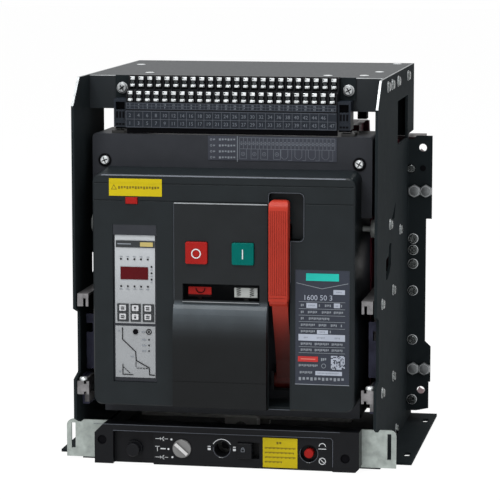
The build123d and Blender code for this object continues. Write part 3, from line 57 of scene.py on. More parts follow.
# ---------------------------------------------------------------- materials
def surface(name, color, rough, metal=0.0, specular=0.5, patch=45.0, spread=0.1, grain=1400.0,
            bump=0.08, rough_spread=0.07, stretch=(1.0, 1.0, 1.0), dust=0.0, painted_light_by_height=()):
    """Procedural finish: patchy colour, fine grain in the bump, uneven roughness and a little dust.

    Each pair in the last argument is a height in millimetres with the factor that the colour is multiplied by
    there; it paints shade where the factor is below one and paints highlight where it is above one.
    """
    material = bpy.data.materials.new(name)
    material.use_nodes = True
    nodes, links = material.node_tree.nodes, material.node_tree.links
    shader = nodes["Principled BSDF"]
    shader.inputs["Metallic"].default_value = metal
    shader.inputs["Specular IOR Level"].default_value = specular
    coords = nodes.new("ShaderNodeTexCoord")
    mapping = nodes.new("ShaderNodeMapping")
    mapping.inputs["Scale"].default_value = stretch
    links.new(coords.outputs["Object"], mapping.inputs["Vector"])

    def noise(scale, detail):
        node = nodes.new("ShaderNodeTexNoise")
        node.inputs["Scale"].default_value = scale
        node.inputs["Detail"].default_value = detail
        links.new(mapping.outputs["Vector"], node.inputs["Vector"])
        return node.outputs["Fac"]

    ramp = nodes.new("ShaderNodeValToRGB")
    ramp.color_ramp.elements[0].position = 0.3
    ramp.color_ramp.elements[1].position = 0.7
    ramp.color_ramp.elements[0].color = [c * (1 - spread) for c in color] + [1]
    ramp.color_ramp.elements[1].color = [min(1, c * (1 + spread)) for c in color] + [1]
    links.new(noise(patch, 4.0), ramp.inputs["Fac"])
    tint = ramp.outputs["Color"]
    if dust:
        specks = nodes.new("ShaderNodeValToRGB")
        specks.color_ramp.elements[0].position = 0.66
        specks.color_ramp.elements[1].position = 0.78
        specks.color_ramp.elements[1].color = (dust, dust, dust, 1)
        links.new(noise(patch * 9, 3.0), specks.inputs["Fac"])
        mix = nodes.new("ShaderNodeMix")
        mix.data_type = "RGBA"
        links.new(specks.outputs["Color"], mix.inputs["Factor"])
        links.new(tint, mix.inputs["A"])
        mix.inputs["B"].default_value = [min(1, c + 0.16) for c in color] + [1]
        tint = mix.outputs["Result"]
    # painted shade and painted highlight: the colour is scaled by height through a ramp
    if painted_light_by_height:
        heights = nodes.new("ShaderNodeSeparateXYZ")
        links.new(coords.outputs["Object"], heights.inputs[0])
        span = nodes.new("ShaderNodeMapRange")
        span.inputs["From Min"].default_value = painted_light_by_height[0][0] * MM
        span.inputs["From Max"].default_value = painted_light_by_height[-1][0] * MM
        links.new(heights.outputs["Z"], span.inputs["Value"])
        steps = nodes.new("ShaderNodeValToRGB")
        peak = max(share for z, share in painted_light_by_height)
        while len(steps.color_ramp.elements) < len(painted_light_by_height):
            steps.color_ramp.elements.new(0.5)
        for element, (z, share) in zip(steps.color_ramp.elements, painted_light_by_height):
            element.position = (z - painted_light_by_height[0][0]) / (painted_light_by_height[-1][0] - painted_light_by_height[0][0])
            element.color = [share / peak] * 3 + [1]
        links.new(span.outputs["Result"], steps.inputs["Fac"])
        lift = nodes.new("ShaderNodeVectorMath")
        lift.operation = "SCALE"
        lift.inputs["Scale"].default_value = peak
        links.new(steps.outputs["Color"], lift.inputs[0])
        toned = nodes.new("ShaderNodeVectorMath")
        toned.operation = "MULTIPLY"
        links.new(tint, toned.inputs[0])
        links.new(lift.outputs["Vector"], toned.inputs[1])
        tint = toned.outputs["Vector"]
    links.new(tint, shader.inputs["Base Color"])
    spans = nodes.new("ShaderNodeMapRange")
    spans.inputs["To Min"].default_value = max(0.02, rough - rough_spread)
    spans.inputs["To Max"].default_value = min(1, rough + rough_spread)
    links.new(noise(patch * 5, 3.0), spans.inputs["Value"])
    links.new(spans.outputs["Result"], shader.inputs["Roughness"])
    relief = nodes.new("ShaderNodeBump")
    relief.inputs["Strength"].default_value = bump
    relief.inputs["Distance"].default_value = 0.0003
    links.new(noise(grain, 2.0), relief.inputs["Height"])
    links.new(relief.outputs["Normal"], shader.inputs["Normal"])
    return material


finish = {
    "black_steel": surface("black_steel", (0.0135, 0.0175, 0.0195), 0.75, specular=0.02, dust=0.05),
    "zinc_steel": surface("zinc_steel", (0.36, 0.40, 0.38), 0.46, metal=0.75, patch=110, spread=0.22,
                          grain=700, rough_spread=0.14),
    "steel": surface("steel", (0.42, 0.42, 0.41), 0.33, metal=1.0, patch=70, spread=0.14,
                     stretch=(1, 0.15, 1)),
    "copper": surface("copper", (0.72, 0.37, 0.22), 0.34, metal=1.0, patch=60, spread=0.16,
                      stretch=(1, 0.2, 1)),
    "black_plastic": surface("black_plastic", (0.006, 0.0065, 0.008), 0.38, specular=0.12),
    "strip_plastic": surface("strip_plastic", (0.011, 0.015, 0.022), 0.38, specular=0.18),
    "housing_plastic": surface("housing_plastic", (0.0265, 0.0290, 0.0350), 0.42, specular=0.16),
    "cover_plastic": surface("cover_plastic", (0.0085, 0.0118, 0.0138), 0.40, specular=0.18, grain=2200,
                             bump=0.1),
    "red_plastic": surface("red_plastic", (0.30, 0.012, 0.010), 0.34, specular=0.08, spread=0.06),
    "green_plastic": surface("green_plastic", (0.0, 0.108, 0.093), 0.30, specular=0.05, spread=0.06),
    "pale_plastic": surface("pale_plastic", (0.34, 0.36, 0.35), 0.42, spread=0.05),
    # panel_grey gets darker towards the bottom of the trip unit: painted shade by height.
    "panel_grey": surface("panel_grey", (0.42, 0.44, 0.46), 0.45, specular=0.3, spread=0.03, bump=0.05,
                          painted_light_by_height=((95, 0.64), (150, 0.68), (185, 0.80), (235, 1.0))),
    "key_plastic": surface("key_plastic", (0.50, 0.51, 0.53), 0.40, spread=0.04),
    "grey_dial": surface("grey_dial", (0.20, 0.20, 0.20), 0.38, metal=0.5, spread=0.12),
    "plate_metal": surface("plate_metal", (0.017, 0.022, 0.036), 0.38, specular=0.35, spread=0.08, bump=0.03),
    "maroon_plastic": surface("maroon_plastic", (0.085, 0.010, 0.020), 0.42, specular=0.2, spread=0.1,
                              grain=1500),
}
# Colours for print, labels and small parts; dim, lip and black also serve painted highlights and painted shade.
marks_and_painted_light = {
    "white": surface("ink_white", (0.62, 0.64, 0.66), 0.5, specular=0.3, spread=0.05, bump=0.02),
    "pale": surface("ink_pale", (0.34, 0.37, 0.44), 0.5, specular=0.2, spread=0.08, bump=0.02),
    "grey": surface("ink_grey", (0.20, 0.22, 0.25), 0.5, specular=0.3, spread=0.08, bump=0.02),
    "fine": surface("ink_fine", (0.125, 0.14, 0.165), 0.5, specular=0.3, spread=0.08, bump=0.02),
    "lip": surface("painted_highlight_lip", (0.22, 0.235, 0.245), 0.45, specular=0.3, spread=0.15, bump=0.02),
    "dim": surface("dim_print_and_painted_highlight", (0.085, 0.095, 0.115), 0.5, specular=0.3, spread=0.08, bump=0.02),
    "black": surface("flat_black_and_painted_shade", (0.002, 0.002, 0.003), 0.6, specular=0.05, spread=0.1, bump=0.02),
    "dark": surface("ink_dark", (0.022, 0.025, 0.028), 0.5, specular=0.3, spread=0.1, bump=0.02),
    "olive": surface("ink_olive", (0.16, 0.12, 0.006), 0.5, specular=0.2, spread=0.2, bump=0.02),
    "yellow": surface("ink_yellow", (0.49, 0.385, 0.004), 0.42, specular=0.15, spread=0.04, bump=0.02),
    "tan": surface("ink_tan", (0.42, 0.34, 0.12), 0.45, specular=0.3, spread=0.05, bump=0.02),
    "teal": surface("ink_teal", (0.012, 0.40, 0.34), 0.42, specular=0.2, spread=0.05, bump=0.02),
    "red": surface("ink_red", (0.42, 0.030, 0.028), 0.45, specular=0.2, spread=0.05, bump=0.02),
    "pink": surface("ink_pink", (0.60, 0.20, 0.16), 0.5, specular=0.2, spread=0.05, bump=0.02),
    "glass": surface("display_glass", (0.078, 0.0045, 0.0065), 0.2, specular=0.08, spread=0.05, bump=0.01,
                     rough_spread=0.03),
    "label": surface("label_film", (0.030, 0.034, 0.048), 0.38, specular=0.3, spread=0.06, bump=0.02),
}
# Metal finishes; the pale edge metal also serves painted edge highlights, and the dim metal after it serves
# only a painted edge highlight.
metal = {
    "screw": surface("screw_metal", (0.13, 0.14, 0.14), 0.20, metal=1.0, patch=260, spread=0.55,
                     grain=900, bump=0.5, rough_spread=0.1),
    "hexagon": surface("hexagon_metal", (0.165, 0.175, 0.18), 0.30, metal=0.6, patch=180, spread=0.3,
                       grain=1100, bump=0.25),
    "drive": surface("drive_metal", (0.055, 0.06, 0.063), 0.22, metal=1.0, patch=180, spread=0.3,
                     grain=1100, bump=0.25),
    "clamp": surface("clamp_metal", (0.74, 0.77, 0.78), 0.30, metal=0.6, patch=200, spread=0.2, bump=0.2),
    "edge": surface("pale_metal_and_painted_edge_highlight", (0.42, 0.44, 0.45), 0.35, metal=0.4, patch=120, spread=0.2),
    "worn": surface("painted_dim_edge_highlight", (0.14, 0.15, 0.155), 0.40, metal=0.4, patch=120, spread=0.3),
    "pointer": surface("pointer_metal", (0.62, 0.62, 0.62), 0.30, metal=0.3, spread=0.08),
}
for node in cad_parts.values():
    for socket in node.material_slots:
        socket.material = finish[socket.material.name.split(".")[0]]


def dress(names, material):
    """Give some nodes a finish of their own."""
    for name in names:
        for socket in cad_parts[name].material_slots:
            socket.material = material


dress(["top_plate"], surface("roof_paint", (0.011, 0.0145, 0.0175), 0.5, specular=0.23, dust=0.08))
dress(["shutter_upper", "shutter_lower", "shutter_guides"], finish["maroon_plastic"])
# The rear base turns nearly black above 300 mm: painted shade under the top plate.
dress(["rear_base"],
      surface("base_plastic_painted_shade", (0.085, 0.010, 0.020), 0.42, specular=0.2, grain=1500,
              painted_light_by_height=((0, 1.0), (300, 1.0), (318, 0.10), (415, 0.10))))
dress(["side_brackets", "rail_left", "rail_right"],
      surface("wing_steel", (0.19, 0.185, 0.19), 0.45, metal=0.6, patch=140, spread=0.3, grain=700))
dress(["rail_channels"],
      surface("channel_steel", (0.050, 0.052, 0.085), 0.45, metal=0.5, patch=70, spread=0.3, specular=0.2))
dress(["racking_screw", "front_brackets"],
      surface("oiled_steel", (0.010, 0.010, 0.011), 0.5, metal=0.3, specular=0.1))
# The handle darkens down its stem, painted shadow in the slot, and is lightened at the top of the cap, painted
# highlight.
dress(["charging_handle"],
      surface("handle_plastic_painted_light", (0.345, 0.030, 0.017), 0.34, specular=0.14, spread=0.06,
              painted_light_by_height=((95, 0.12), (115, 0.14), (140, 0.24), (160, 0.50), (178, 0.82), (184, 1.0),
                     (270, 1.0), (291, 1.25))))
# The apron is lightened up to about eight times near its top edge, painted highlight, and darkened towards the
# bottom, painted shade.
dress(["centre_panel"],
      surface("apron_painted_highlight_and_shade", (0.0100, 0.0119, 0.0134), 0.38, specular=0.17, grain=2200, bump=0.1,
              painted_light_by_height=((68, 0.4), (100, 0.45), (135, 0.5), (145, 0.75), (152, 1.6), (160, 3.2),
                     (166, 4.4), (178, 8.2), (184, 1.05), (286, 1.05))))
# The flag is nearly black below 189 mm: painted shade over its stem under the window.
dress(["contact_flag"],
      surface("flag_red_painted_shade", (0.30, 0.012, 0.010), 0.34, specular=0.08, painted_light_by_height=((170, 0.02), (188.6, 0.02),
                                                                            (189.4, 1.0), (206, 1.0))))
# The guides are nearly black above 340 mm: painted shade under the number strip.
dress(["nylon_guides"],
      surface("guide_nylon_painted_shade", (0.34, 0.36, 0.35), 0.42,
              painted_light_by_height=((200, 1.0), (330, 1.0), (340, 0.03), (360, 0.03))))
# The flag is nearly black below 187 mm: painted shade over its stem under the window.
dress(["spring_flag"],
      surface("flag_pale_painted_shade", (0.40, 0.42, 0.41), 0.42, specular=0.2, painted_light_by_height=((170, 0.02), (186.4, 0.02),
                                                                          (187.2, 1.0), (206, 1.0))))


# ---------------------------------------------------------------- mesh helpers
class Form:
    """One mesh piece built up in millimetres, then handed to a body."""

    def __init__(self, name, body, material, slot):
        self.name, self.body, self.material, self.slot = name, body, material, slot
        self.mesh = bmesh.new()

    def polygon(self, points, y_front, y_back):
        """Outline in X and Z, counter-clockwise from the front, pulled from y_front to y_back."""
        front = [self.mesh.verts.new((x, y_front, z)) for x, z in points]
        back = [self.mesh.verts.new((x, y_back, z)) for x, z in points]
        self.mesh.faces.new(front)
        self.mesh.faces.new(back[::-1])
        count = len(points)
        for i in range(count):
            j = (i + 1) % count
            self.mesh.faces.new((front[j], front[i], back[i], back[j]))

    def tile(self, x0, x1, z0, z1, y, proud=MARK):
        """Flat mark that stands a hair proud of the face at y."""
        self.polygon([(x0, z0), (x1, z0), (x1, z1), (x0, z1)], y - proud, y)

    def stroke(self, points, y, width=0.5, proud=MARK):
        """Line with mitre-free joints through a list of places in X and Z."""
        for (x0, z0), (x1, z1) in zip(points, points[1:]):
            length = math.hypot(x1 - x0, z1 - z0)
            ux, uz = (x1 - x0) / length * width / 2, (z1 - z0) / length * width / 2
            self.polygon([(x0 - ux + uz, z0 - uz - ux), (x1 + ux + uz, z1 + uz - ux),
                          (x1 + ux - uz, z1 + uz + ux), (x0 - ux - uz, z0 - uz + ux)], y - proud, y)

    def frame(self, x0, x1, z0, z1, y, width=0.5):
        """Outline of a rectangle."""
        self.stroke([(x0, z0), (x1, z0), (x1, z1), (x0, z1), (x0, z0)], y, width)

    def disc(self, x, z, radius, y, proud=MARK, count=24):
        """Round mark."""
        self.polygon([(x + radius * math.cos(2 * math.pi * i / count),
                       z + radius * math.sin(2 * math.pi * i / count)) for i in range(count)], y - proud, y)

    def arc(self, x, z, radius, y, width=0.5, start=0.0, end=360.0, proud=MARK, count=28):
        """Ring or part of a ring."""
        inner, outer = radius - width / 2, radius + width / 2
        turns = [math.radians(start + (end - start) * i / count) for i in range(count + 1)]
        for a, b in zip(turns, turns[1:]):
            self.polygon([(x + inner * math.cos(a), z + inner * math.sin(a)),
                          (x + outer * math.cos(a), z + outer * math.sin(a)),
                          (x + outer * math.cos(b), z + outer * math.sin(b)),
                          (x + inner * math.cos(b), z + inner * math.sin(b))], y - proud, y)

    def number(self, text, x, z, y, height, proud=MARK):
        """Plain digits centred on a place."""
        points, faces = digits(text)
        made = []
        for u, v in points:
            made.append(self.mesh.verts.new((x + u * height, y - proud, z + v * height)))
        for face in faces:
            self.mesh.faces.new([made[i] for i in face])

    def block(self, x0, x1, y0, y1, z0, z1, bevel=0.0):
        """Box with softened edges."""
        made = bmesh.ops.create_cube(self.mesh, size=1.0)["verts"]
        for vert in made:
            vert.co = Vector(((x0 + x1) / 2 + vert.co.x * (x1 - x0), (y0 + y1) / 2 + vert.co.y * (y1 - y0),
                              (z0 + z1) / 2 + vert.co.z * (z1 - z0)))
        if bevel:
            edges = {e for v in made for e in v.link_edges}
            bmesh.ops.bevel(self.mesh, geom=list(edges), offset=bevel, segments=2, affect="EDGES", profile=0.5)

    def slab(self, corners, lift):
        """Thin sheet over four corners of a face, raised by a small vector."""
        low = [self.mesh.verts.new(corner) for corner in corners]
        high = [self.mesh.verts.new(Vector(corner) + Vector(lift)) for corner in corners]
        self.mesh.faces.new(low)
        self.mesh.faces.new(high[::-1])
        for i in range(4):
            j = (i + 1) % 4
            self.mesh.faces.new((low[i], low[j], high[j], high[i]))

    def words(self, spans, z, y, height=1.7, width=1.15, gap=0.6):
        """Rows of small upright marks that stand for print, over some spans along X."""
        for index, (x0, x1) in enumerate(spans):
            x = x0
            step = 0
            while x + width <= x1 + 0.3:
                cut = 0.28 * height * ((step * 7 + index * 3) % 3) / 2
                self.tile(x, x + width, z - height / 2 + cut, z + height / 2, y)
                x += width + gap
                step += 1

    def lathe(self, profile, origin, axis, count=24):
        """Turned shape: profile pairs are radius and distance along the axis from the origin."""
        turn = Vector((0, 0, 1)).rotation_difference(Vector(axis)).to_matrix()
        base = Vector(origin)
        rings = []
        for radius, along in profile:
            if radius == 0:
                rings.append([self.mesh.verts.new(base + turn @ Vector((0, 0, along)))])
                continue
            rings.append([self.mesh.verts.new(base + turn @ Vector((
                radius * math.cos(2 * math.pi * i / count), radius * math.sin(2 * math.pi * i / count), along)))
                for i in range(count)])
        for low, high in zip(rings, rings[1:]):
            for i in range(count):
                j = (i + 1) % count
                corners = [low[i % len(low)], low[j % len(low)], high[j % len(high)], high[i % len(high)]]
                kept = []
                for corner in corners:
                    if corner not in kept:
                        kept.append(corner)
                if len(kept) > 2:
                    self.mesh.faces.new(kept)

    def stamp(self, other, matrix):
        """Copy of a ready shape, moved by a matrix in millimetres."""
        copy = other.copy()
        copy.transform(matrix)
        self.mesh.from_mesh(copy)
        bpy.data.meshes.remove(copy)

    def done(self, smooth=None, replaces=()):
        """The object, riding on its body."""
        bmesh.ops.recalc_face_normals(self.mesh, faces=self.mesh.faces)
        for vert in self.mesh.verts:
            vert.co = place(*vert.co)
        mesh = bpy.data.meshes.new(self.name)
        self.mesh.to_mesh(mesh)
        self.mesh.free()
        piece = bpy.data.objects.new(self.name, mesh)
        bpy.context.collection.objects.link(piece)
        mesh.materials.append(self.material)
        if smooth:
            mesh.shade_smooth()
            mesh.set_sharp_from_angle(angle=math.radians(smooth))
        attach(piece, self.body)
        if replaces:
            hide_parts(*replaces)
        return piece


digit_store = {}


def digits(text):
    """Points and faces of a number one unit high, centred on the origin."""
    if text not in digit_store:
        curve = bpy.data.curves.new("digits", "FONT")
        curve.body = text
        curve.resolution_u = 3
        curve.align_x = "CENTER"
        holder = bpy.data.objects.new("digits", curve)
        mesh = bpy.data.meshes.new_from_object(holder)
        low = min(v.co.y for v in mesh.vertices)
        high = max(v.co.y for v in mesh.vertices)
        scale = 1 / (high - low)
        points = [(v.co.x * scale, (v.co.y - (low + high) / 2) * scale) for v in mesh.vertices]
        digit_store[text] = (points, [list(p.vertices) for p in mesh.polygons])
        bpy.data.objects.remove(holder)
        bpy.data.curves.remove(curve)
        bpy.data.meshes.remove(mesh)
    return digit_store[text]


def screw_head(radius, height, slot_only=False):
    """Pan head along +Z with its base at zero and a cross or a single slot sunk into its crown."""
    form = bmesh.new()
    count = 28
    profile = [(radius, 0.0), (radius, height * 0.35), (radius * 0.93, height * 0.72), (radius * 0.78, height)]
    rings = [[form.verts.new((r * math.cos(2 * math.pi * i / count), r * math.sin(2 * math.pi * i / count), h))
              for i in range(count)] for r, h in profile]
    for low, high in zip(rings, rings[1:]):
        for i in range(count):
            form.faces.new((low[i], low[(i + 1) % count], high[(i + 1) % count], high[i]))
    reach, half = radius * 0.55, radius * 0.12
    if slot_only:
        outline = [(reach, -half), (reach, half), (-reach, half), (-reach, -half)]
    else:
        outline = [(reach, -half), (reach, half), (half, half), (half, reach), (-half, reach), (-half, half),
                   (-reach, half), (-reach, -half), (-half, -half), (-half, -reach), (half, -reach),
                   (half, -half)]
    top = [form.verts.new((x, y, height)) for x, y in outline]
    deep = [form.verts.new((x * 0.8, y * 0.8, height * 0.35)) for x, y in outline]
    loop = [form.edges.new((top[i], top[(i + 1) % len(top)])) for i in range(len(top))]
    rim = [form.edges.get((rings[-1][i], rings[-1][(i + 1) % count])) for i in range(count)]
    bmesh.ops.triangle_fill(form, use_beauty=True, use_dissolve=False, edges=loop + rim)
    for i in range(len(top)):
        j = (i + 1) % len(top)
        form.faces.new((top[i], top[j], deep[j], deep[i]))
    form.faces.new(deep)
    mesh = bpy.data.meshes.new("screw_head")
    bmesh.ops.recalc_face_normals(form, faces=form.faces)
    form.to_mesh(mesh)
    form.free()
    return mesh


def hexagon_head(across, height):
    """Hexagon head along +Z with a chamfered crown, corners up and down."""
    form = bmesh.new()
    steps = 5
    inner = across / 2
    base, rim, crown = [], [], []
    for side in range(6):
        for i in range(steps):
            off = math.radians(-30 + 60 * i / steps)
            turn = math.radians(60 * side) + off
            reach = inner / math.cos(off)
            drop = (reach - inner * 0.97) * 0.55
            base.append(form.verts.new((reach * math.cos(turn), reach * math.sin(turn), 0)))
            rim.append(form.verts.new((reach * math.cos(turn), reach * math.sin(turn), height - drop)))
            crown.append(form.verts.new((inner * 0.92 * math.cos(turn), inner * 0.92 * math.sin(turn), height)))
    count = len(base)
    for i in range(count):
        j = (i + 1) % count
        form.faces.new((base[i], base[j], rim[j], rim[i]))
        form.faces.new((rim[i], rim[j], crown[j], crown[i]))
    form.faces.new(crown)
    mesh = bpy.data.meshes.new("hexagon_head")
    form.to_mesh(mesh)
    form.free()
    return mesh


def facing(x, y, z, axis, turn=0.0):
    """Matrix in millimetres that stands a head on a face and points it along an axis."""
    swing = Vector((0, 0, 1)).rotation_difference(Vector(axis)).to_matrix().to_4x4()
    return Matrix.Translation((x, y, z)) @ swing @ Matrix.Rotation(math.radians(turn), 4, "Z")


def span(side, inner, outer):
    """Left and right end of a piece that stands on one side of the middle, given from the middle outwards."""
    return sorted((side * inner, side * outer))


def cross(form, x, z, y, reach, turn):
    """Black cross on the crown of a screw: painted shade in its sunk cross."""
    for angle in (math.radians(turn), math.radians(turn + 90)):
        dx, dz = reach * math.cos(angle), reach * math.sin(angle)
        form.stroke([(x - dx, z - dz), (x + dx, z + dz)], y, 1.1)


FRONT = (0, -1, 0)
UP = (0, 0, 1)
BOTH_SIDES = (-1, 1)
ROOF = 414.0
SIDE_FACE = 162.5
FLANGE_FACE = 277.0
HOUSING_FACE = 49.0
BUTTON_FACE = -5.5
FLAG_FACE = 4.0

# ---------------------------------------------------------------- terminal block
PITCH = 9.45
CELLS = 24
LEFT = -PITCH * CELLS / 2
number_face = 45.0
grid = Form("strip_grid", "cradle", marks_and_painted_light["dim"], "strip_plastic")
figures = Form("strip_numbers", "cradle", marks_and_painted_light["fine"], "strip_plastic")
for z in (360.8, 369.1, 377.6):
    grid.stroke([(LEFT + 0.6, z), (-LEFT - 0.6, z)], number_face, 0.42)
for i in range(CELLS + 1):
    x = min(max(LEFT + i * PITCH, LEFT + 0.6), -LEFT - 0.6)
    top = 377.6 if i < CELLS else 369.1
    grid.stroke([(x, 360.8), (x, top)], number_face, 0.42)
for i in range(CELLS):
    x = LEFT + (i + 0.5) * PITCH
    figures.number(str(2 * i + 1), x, 364.9, number_face, 3.7)
    if i < CELLS - 1:
        figures.number(str(2 * i + 2), x, 373.3, number_face, 3.7)
grid.done()
figures.done()

ledge_face = 46.5
marker_face = ledge_face - 0.6
carrier = Form("marker_strip", "cradle", finish["strip_plastic"], "strip_plastic")
carrier.tile(LEFT + 0.5, -LEFT - 0.5, 379.6, 386.6, ledge_face, 0.6)
carrier.done()
marks = Form("marker_lines", "cradle", marks_and_painted_light["dim"], "strip_plastic")
small = Form("marker_numbers", "cradle", marks_and_painted_light["grey"], "strip_plastic")
for z in (380.0, 383.2, 386.2):
    marks.stroke([(LEFT + 0.9, z), (-LEFT - 0.9, z)], marker_face, 0.3)
for i in range(CELLS + 1):
    x = min(max(LEFT + i * PITCH, LEFT + 0.9), -LEFT - 0.9)
    marks.stroke([(x, 380.0), (x, 386.2)], marker_face, 0.3)
for i in range(CELLS):
    x = LEFT + (i + 0.5) * PITCH
    small.number(str(2 * i + 1), x, 381.6, marker_face, 1.9)
    if i < CELLS - 1:
        small.number(str(2 * i + 2), x, 384.7, marker_face, 1.9)
marks.done()
small.done()

clamps = Form("clamp_plates", "cradle", metal["clamp"], "zinc_steel")
# The black blocks beside each clamp are painted shade for the dark wire entries.
entries = Form("clamp_entries", "cradle", marks_and_painted_light["black"], "black_plastic")
clamp_screws = Form("clamp_screws", "cradle", metal["drive"], "zinc_steel")
clamp_head = screw_head(2.6, 1.3, slot_only=True)
for row, (back, base) in enumerate(((54.5, 387.6), (66.5, 402.3))):
    for i in range(CELLS):
        x = LEFT + (i + 0.5) * PITCH
        front = back - 6.0
        left, right = x - 3.4, x + 1.8
        clamps.block(left + 0.7, right - 0.7, front + 2.2, back - 0.1, base + 0.4, base + 10.8, 0.35)
        clamps.block(left, right, front + 0.8, front + 2.4, base + 0.3, base + 3.1, 0.3)
        clamps.block(left, right, front + 0.8, front + 2.4, base + 7.6, base + 11.0, 0.3)
        clamp_screws.stamp(clamp_head, facing(x - 0.8, front + 2.3, base + 5.4, FRONT,
                                              40 + 23 * ((i * 7 + row) % 5)))
        clamp_screws.block(left + 0.5, left + 1.7, front + 0.7, front + 0.9, base + 9.0, base + 10.4)
        clamp_screws.block(right - 1.3, right - 0.3, front + 0.7, front + 0.9, base + 0.6, base + 2.0)
        entries.block(x + 2.1, x + 3.6, front + 0.6, back - 0.1, base + 0.4, base + 10.8, 0.2)
clamps.done(smooth=35, replaces=("terminal_clamps",))
entries.done()
clamp_screws.done(smooth=35)

# what hangs under the block and stands behind it; the black sheets under the block and in front of the guide
# shoes are painted shade, not parts
shadow_sheet = Form("painted_shadow_sheets", "cradle", marks_and_painted_light["black"], "black_plastic")
shadow_sheet.block(LEFT, -LEFT, 52.0, 54.0, 353.8, 360.0)
plug_face = 50.4
plugs = Form("plug_faces", "cradle", finish["strip_plastic"], "strip_plastic")
# Black tiles over the plug openings and over the recess above each plug: painted shade.
holes = Form("plug_holes", "cradle", marks_and_painted_light["black"], "strip_plastic")
for side in BOTH_SIDES:
    shadow_sheet.block(*span(side, 113.5, 127.4), 60.0, 62.0, 357.4, 360.0)
    plugs.block(*span(side, 115.5, 125.3), plug_face, 57.9, 367.1, 378.4, 0.2)
    holes.tile(*span(side, 115.5, 125.3), 378.6, 386.8, 58.0)
    for offset in (-3.4, 0.0, 3.4):
        x = side * 120.4 + offset
        holes.tile(x - 1.1, x + 1.1, 369.8, 376.8, plug_face)
        holes.tile(x - 1.2, x + 1.2, 362.2, 364.2, 50.0)
shadow_sheet.done()
plugs.done()
holes.done()
guard = Form("rear_flanges", "cradle", finish["black_steel"], "black_steel")
for side in BOTH_SIDES:
    guard.block(*span(side, 138.0, 159.3), 298.0, 300.5, 333.2, 395.5)
guard.done()
duct = Form("wiring_duct", "cradle", marks_and_painted_light["black"], "black_plastic")
duct.block(115.8, 126.1, 190.0, 204.0, 360.4, 392.0, 0.5)
duct.done()
lug = Form("chute_lug", "breaker", finish["maroon_plastic"], "maroon_plastic")
lug.polygon([(123.3, 343.0), (129.6, 343.0), (128.9, 359.3), (125.0, 359.0), (123.3, 355.5)], 186.0, 194.0)
lug.done()

# ---------------------------------------------------------------- screws and bolts
pan = screw_head(5.2, 3.0)
washer = [(5.9, 0.0), (5.9, 0.5), (5.2, 0.8), (5.0, 0.8)]
side_places = [(83.5, 404.0), (119.0, 404.0), (173.0, 404.0), (268.0, 404.0), (46.0, 177.0), (110.0, 254.0),
               (203.0, 237.0), (142.0, 178.0), (51.0, 81.0), (148.0, 81.0), (180.0, 15.0)]
flange_heights = [217.0, 204.0, 188.0, 157.0, 100.0, 30.0]
heads = Form("side_and_flange_screws", "cradle", metal["screw"], "zinc_steel")
rings = Form("screw_washers", "cradle", metal["edge"], "zinc_steel")
for side in BOTH_SIDES:
    for i, (y, z) in enumerate(side_places):
        heads.stamp(pan, facing(side * SIDE_FACE, y, z, (side, 0, 0), 17 + 31 * i))
        rings.lathe(washer, (side * SIDE_FACE, y, z), (side, 0, 0), 24)
    heads.stamp(pan, facing(side * 166.2, FLANGE_FACE, 297.2, FRONT, 25))
    for i, z in enumerate(flange_heights):
        heads.stamp(pan, facing(side * 169.2, FLANGE_FACE, z, FRONT, 12 + 37 * i))
        rings.lathe(washer, (side * 169.2, FLANGE_FACE, z), FRONT, 24)
heads.done(smooth=40, replaces=("cradle_screws",))
rings.done(smooth=40)
# Black discs where the flanges have holes: painted shade for their depth.
flange_holes = Form("flange_holes", "cradle", marks_and_painted_light["black"], "black_steel")
for side in BOTH_SIDES:
    flange_holes.disc(side * 179.6, 298.0, 3.4, FLANGE_FACE)
flange_holes.done()

hexagon = hexagon_head(13.0, 5.5)
rim = [(6.1, 5.2), (5.9, 5.62), (5.4, 5.62), (5.4, 5.5)]
shank = [(4.0, 0.0), (4.0, 16.0), (3.4, 17.0), (0, 17.0)]
bolt_rims = Form("flange_bolt_rims", "cradle", metal["edge"], "zinc_steel")
bolts = Form("flange_hex_bolts", "cradle", metal["hexagon"], "zinc_steel")
for side in BOTH_SIDES:
    for x in (170.3, 183.4):
        for z in (272.0, 66.5):
            bolts.stamp(hexagon, facing(side * x, FLANGE_FACE, z, FRONT))
            bolt_rims.lathe(rim, (side * x, FLANGE_FACE, z), FRONT, 24)
            bolts.lathe(shank, (side * x, FLANGE_FACE + 3, z), (0, 1, 0), 20)
bolts.done(smooth=35, replaces=("cradle_bolts",))
bolt_rims.done(smooth=35)

# low screw heads on the roof and on the rails, and painted highlights on the edges of the sheets that face the
# light
roof = Form("roof_screws", "cradle", metal["clamp"], "zinc_steel")
roof_places = [(95.8, 100.5), (134.1, 107.3), (142.8, 168.4), (-102.0, 114.8), (-142.0, 250.0), (145.3, 310.9)]
for x, y in roof_places:
    roof.lathe([(5.0, 0.0), (5.0, 0.3), (4.0, 0.55), (0, 0.55)], (x, y, ROOF), UP, 20)
roof.done()
rail_head = screw_head(4.4, 3.0)
for side, body in ((-1, "rail_left"), (1, "rail_right")):
    top = Form("nose_screw_" + body, body, metal["clamp"], "zinc_steel")
    top.stamp(rail_head, facing(side * 154.2, 14.0, 91.4, UP, 30))
    top.done(smooth=40)
